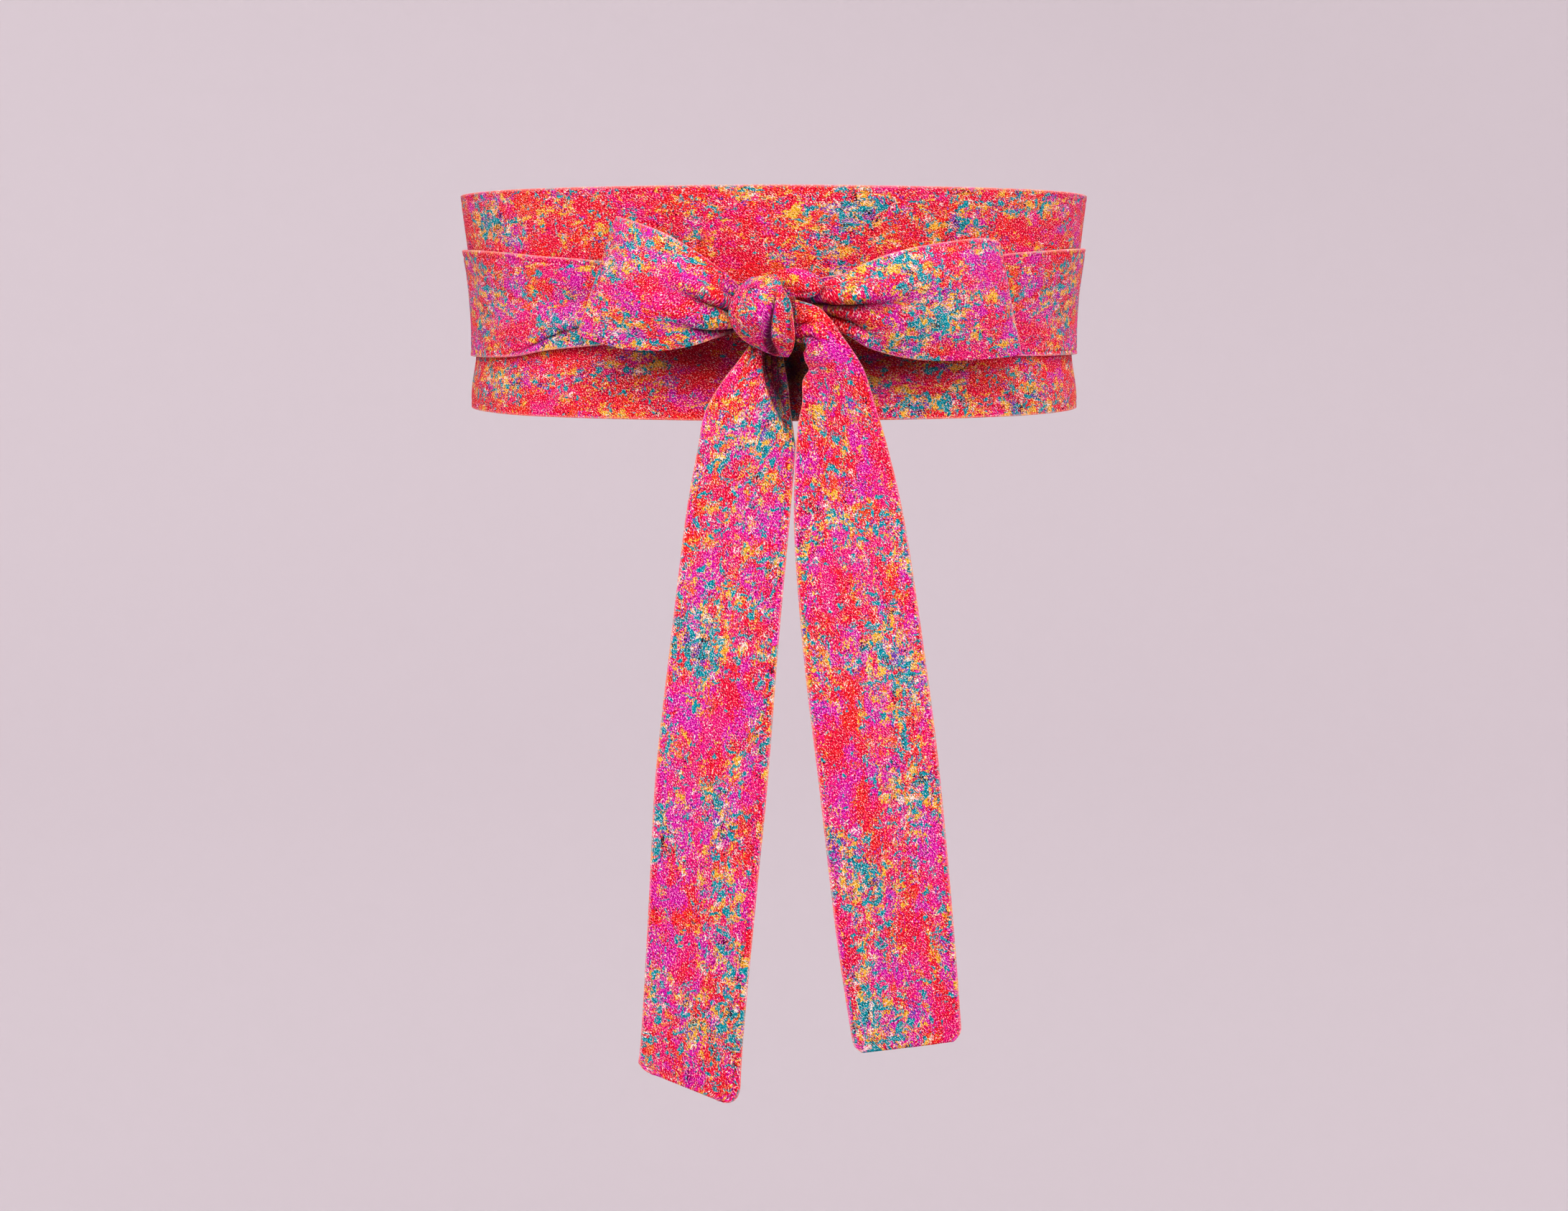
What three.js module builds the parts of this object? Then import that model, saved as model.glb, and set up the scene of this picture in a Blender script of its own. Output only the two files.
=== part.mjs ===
// Obi belt, worn: a wide panel round the waist and two long ties that cross at the back, come round
// over the panel and are tied in a bow at the front. Millimetres, +Z up, +X to the viewer's right and
// the front towards -Y. The origin is the middle of the waist, half way up the panel.
import * as THREE from 'three';

// ---------------------------------------------------------------- driving sizes

const PANEL = { length: 572, thickness: 2.4 };
const TIE = { width: 46, thickness: 1.8 };
const SEAM_GAP = 0.35;
const LAYER_GAP = 0.6;

// Half width and half depth of the waist, inside the panel, at each height. The ties draw it in.
const WAIST = [
  { z: -48, halfWidth: 127.8, halfDepth: 90.8 },
  { z: -36, halfWidth: 127.6, halfDepth: 90.2 },
  { z: -22, halfWidth: 125.6, halfDepth: 88.6 },
  { z: 0, halfWidth: 126.0, halfDepth: 88.6 },
  { z: 24, halfWidth: 129.0, halfDepth: 90.4 },
  { z: 48, halfWidth: 131.8, halfDepth: 92.6 },
];

// Upper and lower edge of the panel, by distance round the waist from the front middle. Its last
// stretch tapers to the width of a tie.
const PANEL_EDGE = [
  { s: 0, top: 47.0, bottom: -47.0 },
  { s: 110, top: 46.4, bottom: -46.2 },
  { s: 180, top: 45.4, bottom: -44.4 },
  { s: 216, top: 44.6, bottom: -43.6 },
  { s: 251, top: 34.0, bottom: -33.4 },
  { s: 286, top: 23.0, bottom: -23.0 },
];

// How far the middle of each layer's wall lies outside the panel's inner face.
const FIRST_LAYER = PANEL.thickness / 2;
const SECOND_LAYER = PANEL.thickness + LAYER_GAP + TIE.thickness / 2;

// Each tie from the knot back to its root, by distance round the waist from the front middle on its
// own side: height of its middle, half its width there, and how far its wall lies out.
const WRAP_LEFT = [
  { s: 12.6, middle: -0.4, half: 9.0, out: 10.2 },
  { s: 30, middle: -0.2, half: 12.2, out: 7.4 },
  { s: 50, middle: 0.0, half: 15.0, out: 6.2 },
  { s: 74, middle: 0.2, half: 17.4, out: 5.8 },
  { s: 96, middle: 0.0, half: 19.2, out: 5.2 },
  { s: 116, middle: -0.6, half: 21.4, out: 4.2 },
  { s: 140, middle: -0.3, half: 22.4, out: SECOND_LAYER },
  { s: 180, middle: 0.3, half: 22.6, out: SECOND_LAYER },
  { s: 230, middle: 1.5, half: 22.9, out: SECOND_LAYER },
];
const WRAP_RIGHT = [
  { s: 9.0, middle: -0.2, half: 9.0, out: 10.2 },
  { s: 30, middle: -0.2, half: 12.4, out: 6.8 },
  { s: 50, middle: -0.4, half: 15.4, out: 5.0 },
  { s: 74, middle: -0.6, half: 18.4, out: 4.2 },
  { s: 96, middle: -0.6, half: 20.6, out: SECOND_LAYER },
  { s: 116, middle: -0.2, half: 21.6, out: SECOND_LAYER },
  { s: 140, middle: 0.4, half: 22.2, out: SECOND_LAYER },
  { s: 180, middle: 0.6, half: 22.6, out: SECOND_LAYER },
  { s: 230, middle: -1.5, half: 22.9, out: SECOND_LAYER },
];

// At the back the ties are gathered a little and pass edge to edge, one above the other, before each
// lies over the other's root. Lengths run round the waist from the back middle.
const BACK = {
  apart: 17.6, gathered: 16.9, flat: 12, climbRoot: 46, climbSide: 84, square: 32, layerShift: 10,
};

// The lower edge of the left tie rolls under on its way to the knot, and leaves a crease above it.
const WRAP_ROLL = { start: 124, depth: 2.2, atStart: 0.97, atKnot: 0.74, width: 0.05 };

// Stretches of the bow. Each row is a section of the strip: its two edges, a (upper or left) and
// b (lower or right), and how far its middle puffs out towards the front.
const LOOP_LEFT = [
  { a: [-12.8, -111.0, 6], b: [-12.8, -111.0, -10], puff: 0.4 },
  { a: [-18.0, -112.7, 11], b: [-18.0, -112.4, -12], puff: 1.0 },
  { a: [-23.5, -115.6, 15.4], b: [-23.5, -114.6, -14], puff: 2.6 },
  { a: [-33, -116, 22], b: [-33, -114, -16.6], puff: 4.6 },
  { a: [-43, -113, 27.6], b: [-45.6, -111, -18.4], puff: 6.0 },
  { a: [-53.4, -109, 31.6], b: [-60, -106, -17.6], puff: 5.6 },
  { a: [-59, -105, 33.4], b: [-71, -102, -14.8], puff: 3.0 },
  { a: [-61.2, -100.6, 34.2], b: [-77, -98.4, -12.4], puff: 0.4 },
  { a: [-59, -96.4, 33], b: [-73, -93.6, -13.6], puff: -1.6 },
  { a: [-50.4, -94.4, 29], b: [-59.4, -92.4, -15.6], puff: -1.2 },
  { a: [-36, -97, 21.6], b: [-42, -96, -16.2], puff: -0.4 },
  { a: [-22, -101.6, 12], b: [-26, -101.6, -12.6], puff: 0 },
  { a: [-12.8, -104.6, 4], b: [-12.8, -104.6, -8], puff: 0 },
];
const LOOP_RIGHT = [
  { a: [9.0, -108.8, 6], b: [9.0, -108.8, -7], puff: 0.4 },
  { a: [17.6, -112.2, 7.4], b: [19.6, -111.0, -6.4], puff: 0.8 },
  { a: [25, -114.6, 10.2], b: [27.6, -111.8, -10.8], puff: 3.4 },
  { a: [38.8, -113.6, 16.6], b: [39.1, -108.8, -17.6], puff: 6.2 },
  { a: [52.2, -108, 21.1], b: [53.4, -104, -21.4], puff: 7.0 },
  { a: [70.2, -98, 24.4], b: [70.7, -95, -22.7], puff: 6.4 },
  { a: [84.6, -88, 26.0], b: [90.4, -84, -21.8], puff: 4.0 },
  { a: [90.3, -81.4, 24.1], b: [99.6, -77.4, -20.8], puff: 0.6 },
  { a: [87, -78, 23.4], b: [93, -74, -20.3], puff: -1.6 },
  { a: [73, -82.6, 21.8], b: [76.2, -79.6, -20.7], puff: -1.4 },
  { a: [55, -92.6, 17.7], b: [58.3, -90.6, -19.2], puff: -0.6 },
  { a: [35, -99.4, 10.5], b: [37.9, -98.8, -13.5], puff: 0 },
  { a: [9.0, -103.2, 5], b: [9.0, -103.2, -6], puff: 0 },
];
const TAIL_LEFT = [
  { a: [-8.8, -107.6, -15.6], b: [5.6, -103.8, -17.6], puff: 0.6 },
  { a: [-13.2, -111.4, -21.8], b: [7.4, -104, -25.4], puff: 1.8 },
  { a: [-20.6, -111.6, -31.6], b: [8.8, -105, -34.7], puff: 3.4 },
  { a: [-27, -111, -43], b: [9.1, -106, -47.4], puff: 3.6 },
  { a: [-30, -110.4, -59], b: [8.3, -107, -63], puff: 3.0 },
  { a: [-34.6, -110.4, -84], b: [6.3, -108.2, -87.7], puff: 2.0 },
  { a: [-41, -112, -135.4], b: [1.7, -110.4, -139.7], puff: 1.2 },
  { a: [-46.9, -113.6, -187], b: [-2.3, -112, -191.9], puff: 0.8 },
  { a: [-49.9, -113.8, -239.3], b: [-7.5, -112.2, -244.4], puff: 0.8 },
  { a: [-53.2, -112.4, -292.6], b: [-12.5, -110.6, -300], puff: 0.6 },
  { a: [-54.9, -111.6, -306.6], b: [-13.4, -109.4, -324.4], puff: 0.2 },
];
const TAIL_RIGHT = [
  { a: [8.6, -113.6, -13.8], b: [8.6, -114.4, 1.6], puff: 0.4 },
  { a: [12.0, -116.4, -17.8], b: [18.6, -118.6, -2.2], puff: 2.6 },
  { a: [12.9, -115.8, -22], b: [26.7, -118.6, -12.7], puff: 4.0 },
  { a: [14.4, -113.8, -25.8], b: [34.4, -116, -24.2], puff: 4.4 },
  { a: [11.9, -112, -30.4], b: [38.1, -114, -33.4], puff: 4.0 },
  { a: [11.7, -110.4, -38.8], b: [41, -112.4, -42.9], puff: 3.4 },
  { a: [9.4, -109.2, -52.9], b: [45.1, -111.2, -56.5], puff: 2.6 },
  { a: [8.3, -109, -88.5], b: [51.7, -111, -84.1], puff: 1.6 },
  { a: [12, -111, -139], b: [59.5, -113, -133.8], puff: 1.0 },
  { a: [18, -113, -189.4], b: [66, -115, -183.3], puff: 0.8 },
  { a: [25.3, -113.2, -252.6], b: [72, -115, -245.5], puff: 0.8 },
  { a: [32.6, -112, -301], b: [76, -113.8, -295], puff: 0.4 },
];
const KNOT_WRAP = [
  { a: [-5.6, -109.8, 7.4], b: [-1.6, -112.4, 8.6], puff: 0.8 },
  { a: [-8.0, -113.4, 9.6], b: [1.2, -117.4, 10.4], puff: 2.6 },
  { a: [-12.6, -115.6, 5.8], b: [3.5, -121.0, 5.4], puff: 7.4 },
  { a: [-16.2, -116.4, -0.7], b: [6.0, -122.2, 0.8], puff: 10.4 },
  { a: [-16.5, -115.8, -6.6], b: [7.4, -122.0, -4.9], puff: 10.8 },
  { a: [-12.6, -113.6, -12.5], b: [7.9, -120.6, -11], puff: 9.6 },
  { a: [-5.3, -112.8, -17.0], b: [7.6, -118.4, -16.4], puff: 6.0 },
  { a: [1.8, -111.4, -19.8], b: [5.6, -114.4, -20.4], puff: 1.6 },
];
const KNOT_TOP = [
  { a: [0.6, -113.0, 11.4], b: [2.2, -114.4, 4.4], puff: 0.4 },
  { a: [4.0, -114.2, 12.8], b: [4.8, -115.2, 3.4], puff: 1.6 },
  { a: [9.3, -115.4, 13.2], b: [10, -116.0, 3.0], puff: 3.0 },
  { a: [14.9, -116.6, 11.5], b: [15, -117.4, 3.0], puff: 2.2 },
  { a: [19.4, -117.0, 8.7], b: [18.3, -117.4, 5.4], puff: 0.4 },
];

// The bunched layers inside the knot, as one rounded solid between the panel and the wrap.
const KNOT_CORE = { at: [-2.0, -109.0, -5.6], half: [9.2, 16.6, 9.2] };

// The share of a fold's length over which it comes in, and the share after which it fades out.
const FADE = { in: 0.12, out: 0.3 };

// Folds run along a stretch, from one place to another: u along it, v across it from a to b, how
// deep the cloth is pushed in (or out, where below 0), and the fold's half width as a share of v.
const FOLDS = {
  loopLeft: [
    { u: [0.0, 0.34], v: [0.66, 0.5], depth: 4.0, width: 0.09 },
    { u: [0.0, 0.26], v: [0.93, 0.82], depth: 2.0, width: 0.06 },
    { u: [0.02, 0.3], v: [0.78, 0.7], depth: -1.6, width: 0.08 },
  ],
  loopRight: [
    { u: [0.04, 0.44], v: [0.56, 0.5], depth: 6.4, width: 0.08 },
    { u: [0.08, 0.3], v: [0.8, 0.86], depth: 3.4, width: 0.08 },
    { u: [0.06, 0.36], v: [0.68, 0.68], depth: -1.8, width: 0.07 },
  ],
  tailRight: [
    { u: [0.0, 0.13], v: [0.3, 0.42], depth: 1.6, width: 0.07 },
    { u: [0.0, 0.18], v: [0.1, 0.24], depth: 1.8, width: 0.07 },
  ],
  knotWrap: [
    { u: [0.12, 1.04], v: [0.96, 0.3], depth: 2.6, width: 0.07 },
  ],
};

// The left tail's root is doubled: a flap in front, and the rest of the cloth set back behind it.
const FLAP = { reach: 0.36, atRoot: 0.36, atEnd: 0.96, setBack: 3.6, softness: 0.12, fade: 0.4 };

// Corner radii of the two hanging ends, at edge a and edge b.
const CORNERS = { left: [5, 8], right: [3.5, 3.5] };

// ---------------------------------------------------------------- helpers

const clamp01 = (x) => Math.min(1, Math.max(0, x));
const mix = (from, to, t) => from + (to - from) * t;

function smooth(from, to, x) {
  const t = clamp01((x - from) / (to - from));
  return t * t * (3 - 2 * t);
}

// Catmull-Rom curve through four values, between the second and the third.
function curve(p0, p1, p2, p3, t) {
  const start = (p2 - p0) / 2;
  const end = (p3 - p1) / 2;
  const a = 2 * p1 - 2 * p2 + start + end;
  const b = -3 * p1 + 3 * p2 - 2 * start - end;
  return ((a * t + b) * t + start) * t + p1;
}

// A smooth curve through the values that `read` takes from each row, at a row position such as 2.5.
function through(rows, read, position) {
  const last = rows.length - 1;
  const i = Math.min(last - 1, Math.max(0, Math.floor(position)));
  const p1 = read(rows[i]);
  const p2 = read(rows[i + 1]);
  const p0 = i > 0 ? read(rows[i - 1]) : 2 * p1 - p2;
  const p3 = i + 1 < last ? read(rows[i + 2]) : 2 * p2 - p1;
  return curve(p0, p1, p2, p3, position - i);
}

// The row position at which the key column reaches a value.
function positionOf(rows, key, value) {
  let i = 0;
  while (i < rows.length - 2 && value > rows[i + 1][key]) i += 1;
  return i + clamp01((value - rows[i][key]) / (rows[i + 1][key] - rows[i][key]));
}

// ---------------------------------------------------------------- the waist

// Angle round the waist for a distance from the front middle, from a table of the ellipse's length.
const GIRTH = { halfWidth: 128, halfDepth: 91, steps: 2000 };
const girthTable = [0];
for (let i = 1; i <= GIRTH.steps; i += 1) {
  const angle = (Math.PI * (i - 0.5)) / GIRTH.steps;
  const dx = GIRTH.halfWidth * Math.cos(angle);
  const dy = GIRTH.halfDepth * Math.sin(angle);
  girthTable.push(girthTable[i - 1] + (Math.hypot(dx, dy) * Math.PI) / GIRTH.steps);
}
const HALF_GIRTH = girthTable[GIRTH.steps];

function angleAt(s) {
  if (s < 0) return -angleAt(-s);
  if (s > HALF_GIRTH) return 2 * Math.PI - angleAt(2 * HALF_GIRTH - s);
  let low = 0;
  let high = GIRTH.steps;
  while (high - low > 1) {
    const middle = (low + high) >> 1;
    if (girthTable[middle] > s) high = middle;
    else low = middle;
  }
  const t = (s - girthTable[low]) / (girthTable[high] - girthTable[low]);
  return (Math.PI * (low + t)) / GIRTH.steps;
}

// A point `out` outside the panel's inner face, at distance s round the waist and height z.
function atWaist(s, z, out) {
  const position = positionOf(WAIST, 'z', z);
  const halfWidth = through(WAIST, (row) => row.halfWidth, position) + out;
  const halfDepth = through(WAIST, (row) => row.halfDepth, position) + out;
  const angle = angleAt(s);
  return new THREE.Vector3(halfWidth * Math.sin(angle), -halfDepth * Math.cos(angle), z);
}

// ---------------------------------------------------------------- walls of cloth

const evenly = (count) => Array.from({ length: count + 1 }, (_, i) => i / count);

// A closed wall of one thickness round the middle surface that middle(u, v) gives.
function wall(middle, along, across, thickness) {
  const columns = across.length;
  const grid = along.map((u) => across.map((v) => middle(u, v)));
  const normalAt = (i, j) => {
    const down = grid[Math.min(i + 1, along.length - 1)][j].clone().sub(grid[Math.max(i - 1, 0)][j]);
    const over = grid[i][Math.min(j + 1, columns - 1)].clone().sub(grid[i][Math.max(j - 1, 0)]);
    return down.cross(over).normalize();
  };
  const positions = [];
  for (const side of [0.5, -0.5]) {
    grid.forEach((row, i) => row.forEach((point, j) => {
      const offset = normalAt(i, j).multiplyScalar(side * thickness);
      positions.push(...point.clone().add(offset).toArray());
    }));
  }
  const indices = [];
  const quad = (a, b, c, d) => indices.push(a, b, c, a, c, d);
  const front = (i, j) => i * columns + j;
  const back = (i, j) => front(i, j) + along.length * columns;
  const lastRow = along.length - 1;
  const lastColumn = columns - 1;
  for (let i = 0; i < lastRow; i += 1) {
    for (let j = 0; j < lastColumn; j += 1) {
      quad(front(i, j), front(i + 1, j), front(i + 1, j + 1), front(i, j + 1));
      quad(back(i, j), back(i, j + 1), back(i + 1, j + 1), back(i + 1, j));
    }
    quad(front(i, 0), back(i, 0), back(i + 1, 0), front(i + 1, 0));
    quad(front(i, lastColumn), front(i + 1, lastColumn), back(i + 1, lastColumn), back(i, lastColumn));
  }
  for (let j = 0; j < lastColumn; j += 1) {
    quad(front(0, j), front(0, j + 1), back(0, j + 1), back(0, j));
    quad(front(lastRow, j), back(lastRow, j), back(lastRow, j + 1), front(lastRow, j + 1));
  }
  const geometry = new THREE.BufferGeometry();
  geometry.setAttribute('position', new THREE.Float32BufferAttribute(positions, 3));
  geometry.setIndex(indices);
  geometry.computeVertexNormals();
  return geometry;
}

// How far all the folds of a stretch push its cloth in at (u, v). A fold is deepest at its start.
function foldDepth(folds, u, v) {
  let depth = 0;
  for (const fold of folds) {
    const t = (u - fold.u[0]) / (fold.u[1] - fold.u[0]);
    if (t > 0 && t < 1) {
      const fromLine = (v - mix(fold.v[0], fold.v[1], t)) / fold.width;
      const fade = smooth(0, FADE.in, t) * (1 - smooth(FADE.out, 1, t));
      depth += fold.depth * fade * Math.exp(-fromLine * fromLine);
    }
  }
  return depth;
}

// Middle surface of a stretch of the bow: straight from edge to edge, puffed, then folded.
function stretch(rows, folds) {
  return (u, v) => {
    const position = u * (rows.length - 1);
    const [x, y, z] = [0, 1, 2].map((k) => mix(
      through(rows, (row) => row.a[k], position),
      through(rows, (row) => row.b[k], position),
      v,
    ));
    const arch = 1 - (2 * v - 1) ** 2;
    const puff = through(rows, (row) => row.puff, position) * arch;
    return new THREE.Vector3(x, y - puff + foldDepth(folds, u, v), z);
  };
}

// A hanging end: a stretch whose last corners are rounded.
function hangingEnd(surface, length, radii) {
  const inset = (radius, fromEnd) => {
    if (fromEnd >= radius) return 0;
    return radius - Math.sqrt(radius ** 2 - (radius - fromEnd) ** 2);
  };
  return (u, v) => {
    const fromEnd = (1 - u) * length;
    const [a, b] = radii.map((radius) => inset(radius, fromEnd) / TIE.width);
    return surface(u, mix(a, 1 - b, v));
  };
}

// Stations along a hanging end, with more of them where its corners turn.
const CORNER_STATIONS = [1, 0.62, 0.3, 0.08, 0];
function endStations(count, length, radius) {
  const corner = CORNER_STATIONS.map((share) => 1 - (share * radius) / length);
  return [...evenly(count).map((u) => u * corner[0]).slice(0, -1), ...corner];
}

// ---------------------------------------------------------------- the pieces

// How far each way the slope of a tie is taken, and the counts of steps along and across pieces.
const SLOPE_REACH = 1;
const STEPS = {
  panel: 60, wrap: 60, wrapAcross: 5, loop: 22,
  tailLeft: 30, tailLeftAcross: 7, tailRight: 32, tailRightAcross: 6,
  knotWrap: 16, knotWrapAcross: 13, knotTop: 8, knotTopAcross: 6,
  core: 16, coreRings: 10,
};

const cotton = (name, colour) => new THREE.MeshStandardMaterial({
  name, color: colour, roughness: 0.92, metalness: 0,
});
const PRINTED_COTTON = cotton('printed_cotton', 0xe23a5e);
const PRINTED_COTTON_TIE = cotton('printed_cotton_tie', 0xe5486a);

const belt = new THREE.Group();

function piece(name, geometry, material) {
  const mesh = new THREE.Mesh(geometry, material);
  mesh.name = name;
  belt.add(mesh);
}

// The panel: one wall round the front and sides, open at the back.
function panelSurface(u, v) {
  const s = (u - 0.5) * PANEL.length;
  const position = positionOf(PANEL_EDGE, 's', Math.abs(s));
  const top = through(PANEL_EDGE, (row) => row.top, position);
  const bottom = through(PANEL_EDGE, (row) => row.bottom, position);
  return atWaist(s, mix(top, bottom, v), FIRST_LAYER);
}
const panelAcross = [0, 0.13, 0.26, 0.5, 0.74, 0.82, 0.91, 1];
piece('panel', wall(panelSurface, evenly(STEPS.panel), panelAcross, PANEL.thickness), PRINTED_COTTON);

// A tie from the knot round its own side and across the back to its root at the panel's far end.
// side is -1 on the left, and rise says whether it passes the back middle above or below the other.
function wrapSurface(rows, side, rise, roll) {
  const start = rows[0].s;
  const root = 2 * HALF_GIRTH - PANEL.length / 2 - SEAM_GAP;
  const sideEnd = rows[rows.length - 1];
  const heightAt = (s) => {
    if (s <= sideEnd.s) return through(rows, (row) => row.middle, positionOf(rows, 's', s));
    const before = smooth(HALF_GIRTH - BACK.flat - BACK.climbSide, HALF_GIRTH - BACK.flat, s);
    const after = smooth(HALF_GIRTH + BACK.flat, HALF_GIRTH + BACK.flat + BACK.climbRoot, s);
    return mix(sideEnd.middle, rise * BACK.apart, before) * (1 - after);
  };
  const outAt = (s) => {
    if (s <= sideEnd.s) return through(rows, (row) => row.out, positionOf(rows, 's', s));
    const inward = smooth(HALF_GIRTH - BACK.layerShift, HALF_GIRTH + BACK.layerShift, s);
    return mix(SECOND_LAYER, FIRST_LAYER, inward);
  };
  const halfAt = (s) => {
    if (s <= sideEnd.s) return through(rows, (row) => row.half, positionOf(rows, 's', s));
    const flat = mix(sideEnd.half, TIE.width / 2, smooth(sideEnd.s, sideEnd.s + BACK.square, s));
    const before = smooth(HALF_GIRTH - BACK.flat - BACK.climbSide, HALF_GIRTH - BACK.flat, s);
    const after = smooth(HALF_GIRTH + BACK.flat, HALF_GIRTH + BACK.flat + BACK.climbRoot, s);
    return mix(flat, BACK.gathered, before * (1 - after));
  };
  return (u, v) => {
    const s = mix(start, root, u);
    const slope = (heightAt(s + SLOPE_REACH) - heightAt(s - SLOPE_REACH)) / (2 * SLOPE_REACH);
    const started = smooth(sideEnd.s, sideEnd.s + BACK.square, s);
    const leaning = started * (1 - smooth(root - BACK.square, root, s));
    const lean = Math.atan(slope) * leaning;
    const across = (1 - 2 * v) * halfAt(s);
    const distance = s - across * Math.sin(lean);
    const height = heightAt(s) + across * Math.cos(lean);
    const out = outAt(distance);
    let sunk = 0;
    if (s < roll.start) {
      const line = mix(roll.atKnot, roll.atStart, s / roll.start);
      sunk = Math.min(roll.depth, out - SECOND_LAYER) * Math.exp(-(((v - line) / roll.width) ** 2));
    }
    return atWaist(side * distance, height, out - sunk);
  };
}
const NO_ROLL = { start: 0 };
const wrapAlong = evenly(STEPS.wrap);
const rolledAcross = [0, 0.25, 0.5, 0.68, 0.77, 0.84, 0.91, 1];
piece(
  'tie_left_wrap',
  wall(wrapSurface(WRAP_LEFT, -1, 1, WRAP_ROLL), wrapAlong, rolledAcross, TIE.thickness),
  PRINTED_COTTON_TIE,
);
piece(
  'tie_right_wrap',
  wall(wrapSurface(WRAP_RIGHT, 1, -1, NO_ROLL), wrapAlong, evenly(STEPS.wrapAcross), TIE.thickness),
  PRINTED_COTTON_TIE,
);

// The two loops of the bow: out from the knot in front, round the fold, and back behind.
const LOOP_FRONT = 0.52;
const loopFront = evenly(STEPS.loop).map((u) => u * LOOP_FRONT);
const loopAlong = [...loopFront, 0.55, 0.583, 0.616, 0.66, 0.72, 0.79, 0.86, 0.93, 1];
const loopAcross = [0, 0.14, 0.28, 0.4, 0.48, 0.55, 0.62, 0.7, 0.78, 0.86, 0.93, 1];
piece(
  'loop_left',
  wall(stretch(LOOP_LEFT, FOLDS.loopLeft), loopAlong, loopAcross, TIE.thickness),
  PRINTED_COTTON_TIE,
);
piece(
  'loop_right',
  wall(stretch(LOOP_RIGHT, FOLDS.loopRight), loopAlong, loopAcross, TIE.thickness),
  PRINTED_COTTON_TIE,
);

// The left tail, with its flap set forward at the root.
const TAIL_LENGTH = { left: 308, right: 320 };
const tailLeft = stretch(TAIL_LEFT, []);
function flappedTail(u, v) {
  const point = tailLeft(u, v);
  const t = clamp01(u / FLAP.reach);
  const edge = mix(FLAP.atRoot, FLAP.atEnd, t);
  const behind = smooth(edge - FLAP.softness, edge + FLAP.softness, v);
  point.y += FLAP.setBack * behind * (1 - smooth(FLAP.fade, 1, t));
  return point;
}
piece(
  'tail_left',
  wall(
    hangingEnd(flappedTail, TAIL_LENGTH.left, CORNERS.left),
    endStations(STEPS.tailLeft, TAIL_LENGTH.left, CORNERS.left[1]),
    evenly(STEPS.tailLeftAcross),
    TIE.thickness,
  ),
  PRINTED_COTTON_TIE,
);
piece(
  'tail_right',
  wall(
    hangingEnd(stretch(TAIL_RIGHT, FOLDS.tailRight), TAIL_LENGTH.right, CORNERS.right),
    endStations(STEPS.tailRight, TAIL_LENGTH.right, CORNERS.right[1]),
    evenly(STEPS.tailRightAcross),
    TIE.thickness,
  ),
  PRINTED_COTTON_TIE,
);

// The knot: the strand wound over the front, the strand over its top right, and the core inside.
piece(
  'knot_wrap',
  wall(
    stretch(KNOT_WRAP, FOLDS.knotWrap),
    evenly(STEPS.knotWrap),
    evenly(STEPS.knotWrapAcross),
    TIE.thickness,
  ),
  PRINTED_COTTON_TIE,
);
piece(
  'knot_top',
  wall(stretch(KNOT_TOP, []), evenly(STEPS.knotTop), evenly(STEPS.knotTopAcross), TIE.thickness),
  PRINTED_COTTON_TIE,
);
const core = new THREE.SphereGeometry(1, STEPS.core, STEPS.coreRings);
core.scale(...KNOT_CORE.half);
core.translate(...KNOT_CORE.at);
piece('knot_core', core, PRINTED_COTTON_TIE);

export default belt;
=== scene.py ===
import math

import bmesh
import bpy
import numpy as np
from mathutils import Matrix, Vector, noise


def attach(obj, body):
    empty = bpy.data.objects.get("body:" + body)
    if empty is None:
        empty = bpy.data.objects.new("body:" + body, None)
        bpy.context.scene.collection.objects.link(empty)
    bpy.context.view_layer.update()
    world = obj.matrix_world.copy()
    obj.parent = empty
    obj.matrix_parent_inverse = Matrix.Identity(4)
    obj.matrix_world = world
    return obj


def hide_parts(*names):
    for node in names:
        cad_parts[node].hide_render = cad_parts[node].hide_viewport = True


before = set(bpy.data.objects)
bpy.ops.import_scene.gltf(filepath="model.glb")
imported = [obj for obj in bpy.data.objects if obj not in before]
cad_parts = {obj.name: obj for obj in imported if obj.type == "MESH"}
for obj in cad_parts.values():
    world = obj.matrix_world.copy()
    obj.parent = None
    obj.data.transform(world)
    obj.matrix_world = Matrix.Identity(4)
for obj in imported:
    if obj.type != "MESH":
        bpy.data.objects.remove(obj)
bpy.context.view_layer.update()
bpy.ops.object.select_all(action="DESELECT")


# ---------------------------------------------------------------- the panel
# The wide part that goes round the waist: two layers of one printed cotton twill over a stiff
# interfacing, sewn right sides together, turned and pressed, so that its edges are folds with a
# pressed line just inside them. Its ends taper to the width of a tie at the back.

MM = 0.001
PANEL = {"length": 572.0, "height": 94.0, "thickness": 2.4, "area": 0.0493}

# Half width and half depth of the waist at each height, and the panel's upper and lower edge by
# distance round the waist from the front middle, in millimetres.
WAIST = np.array([
    # z, half width, half depth
    [-48, 127.8, 90.8],
    [-36, 127.6, 90.2],
    [-22, 125.6, 88.6],
    [0, 126.0, 88.6],
    [24, 129.0, 90.4],
    [48, 131.8, 92.6],
])
PANEL_EDGE = np.array([
    # s, top, bottom
    [0, 47.0, -47.0],
    [110, 46.4, -46.2],
    [180, 45.4, -44.4],
    [216, 44.6, -43.6],
    [251, 34.0, -33.4],
    [286, 23.0, -23.0],
])
# The ellipse that distances round the waist are measured on.
GIRTH = {"half_width": 128.0, "half_depth": 91.0, "steps": 2000}


def smooth(low, high, x):
    t = np.clip((x - low) / (high - low), 0, 1)
    return t * t * (3 - 2 * t)


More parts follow.
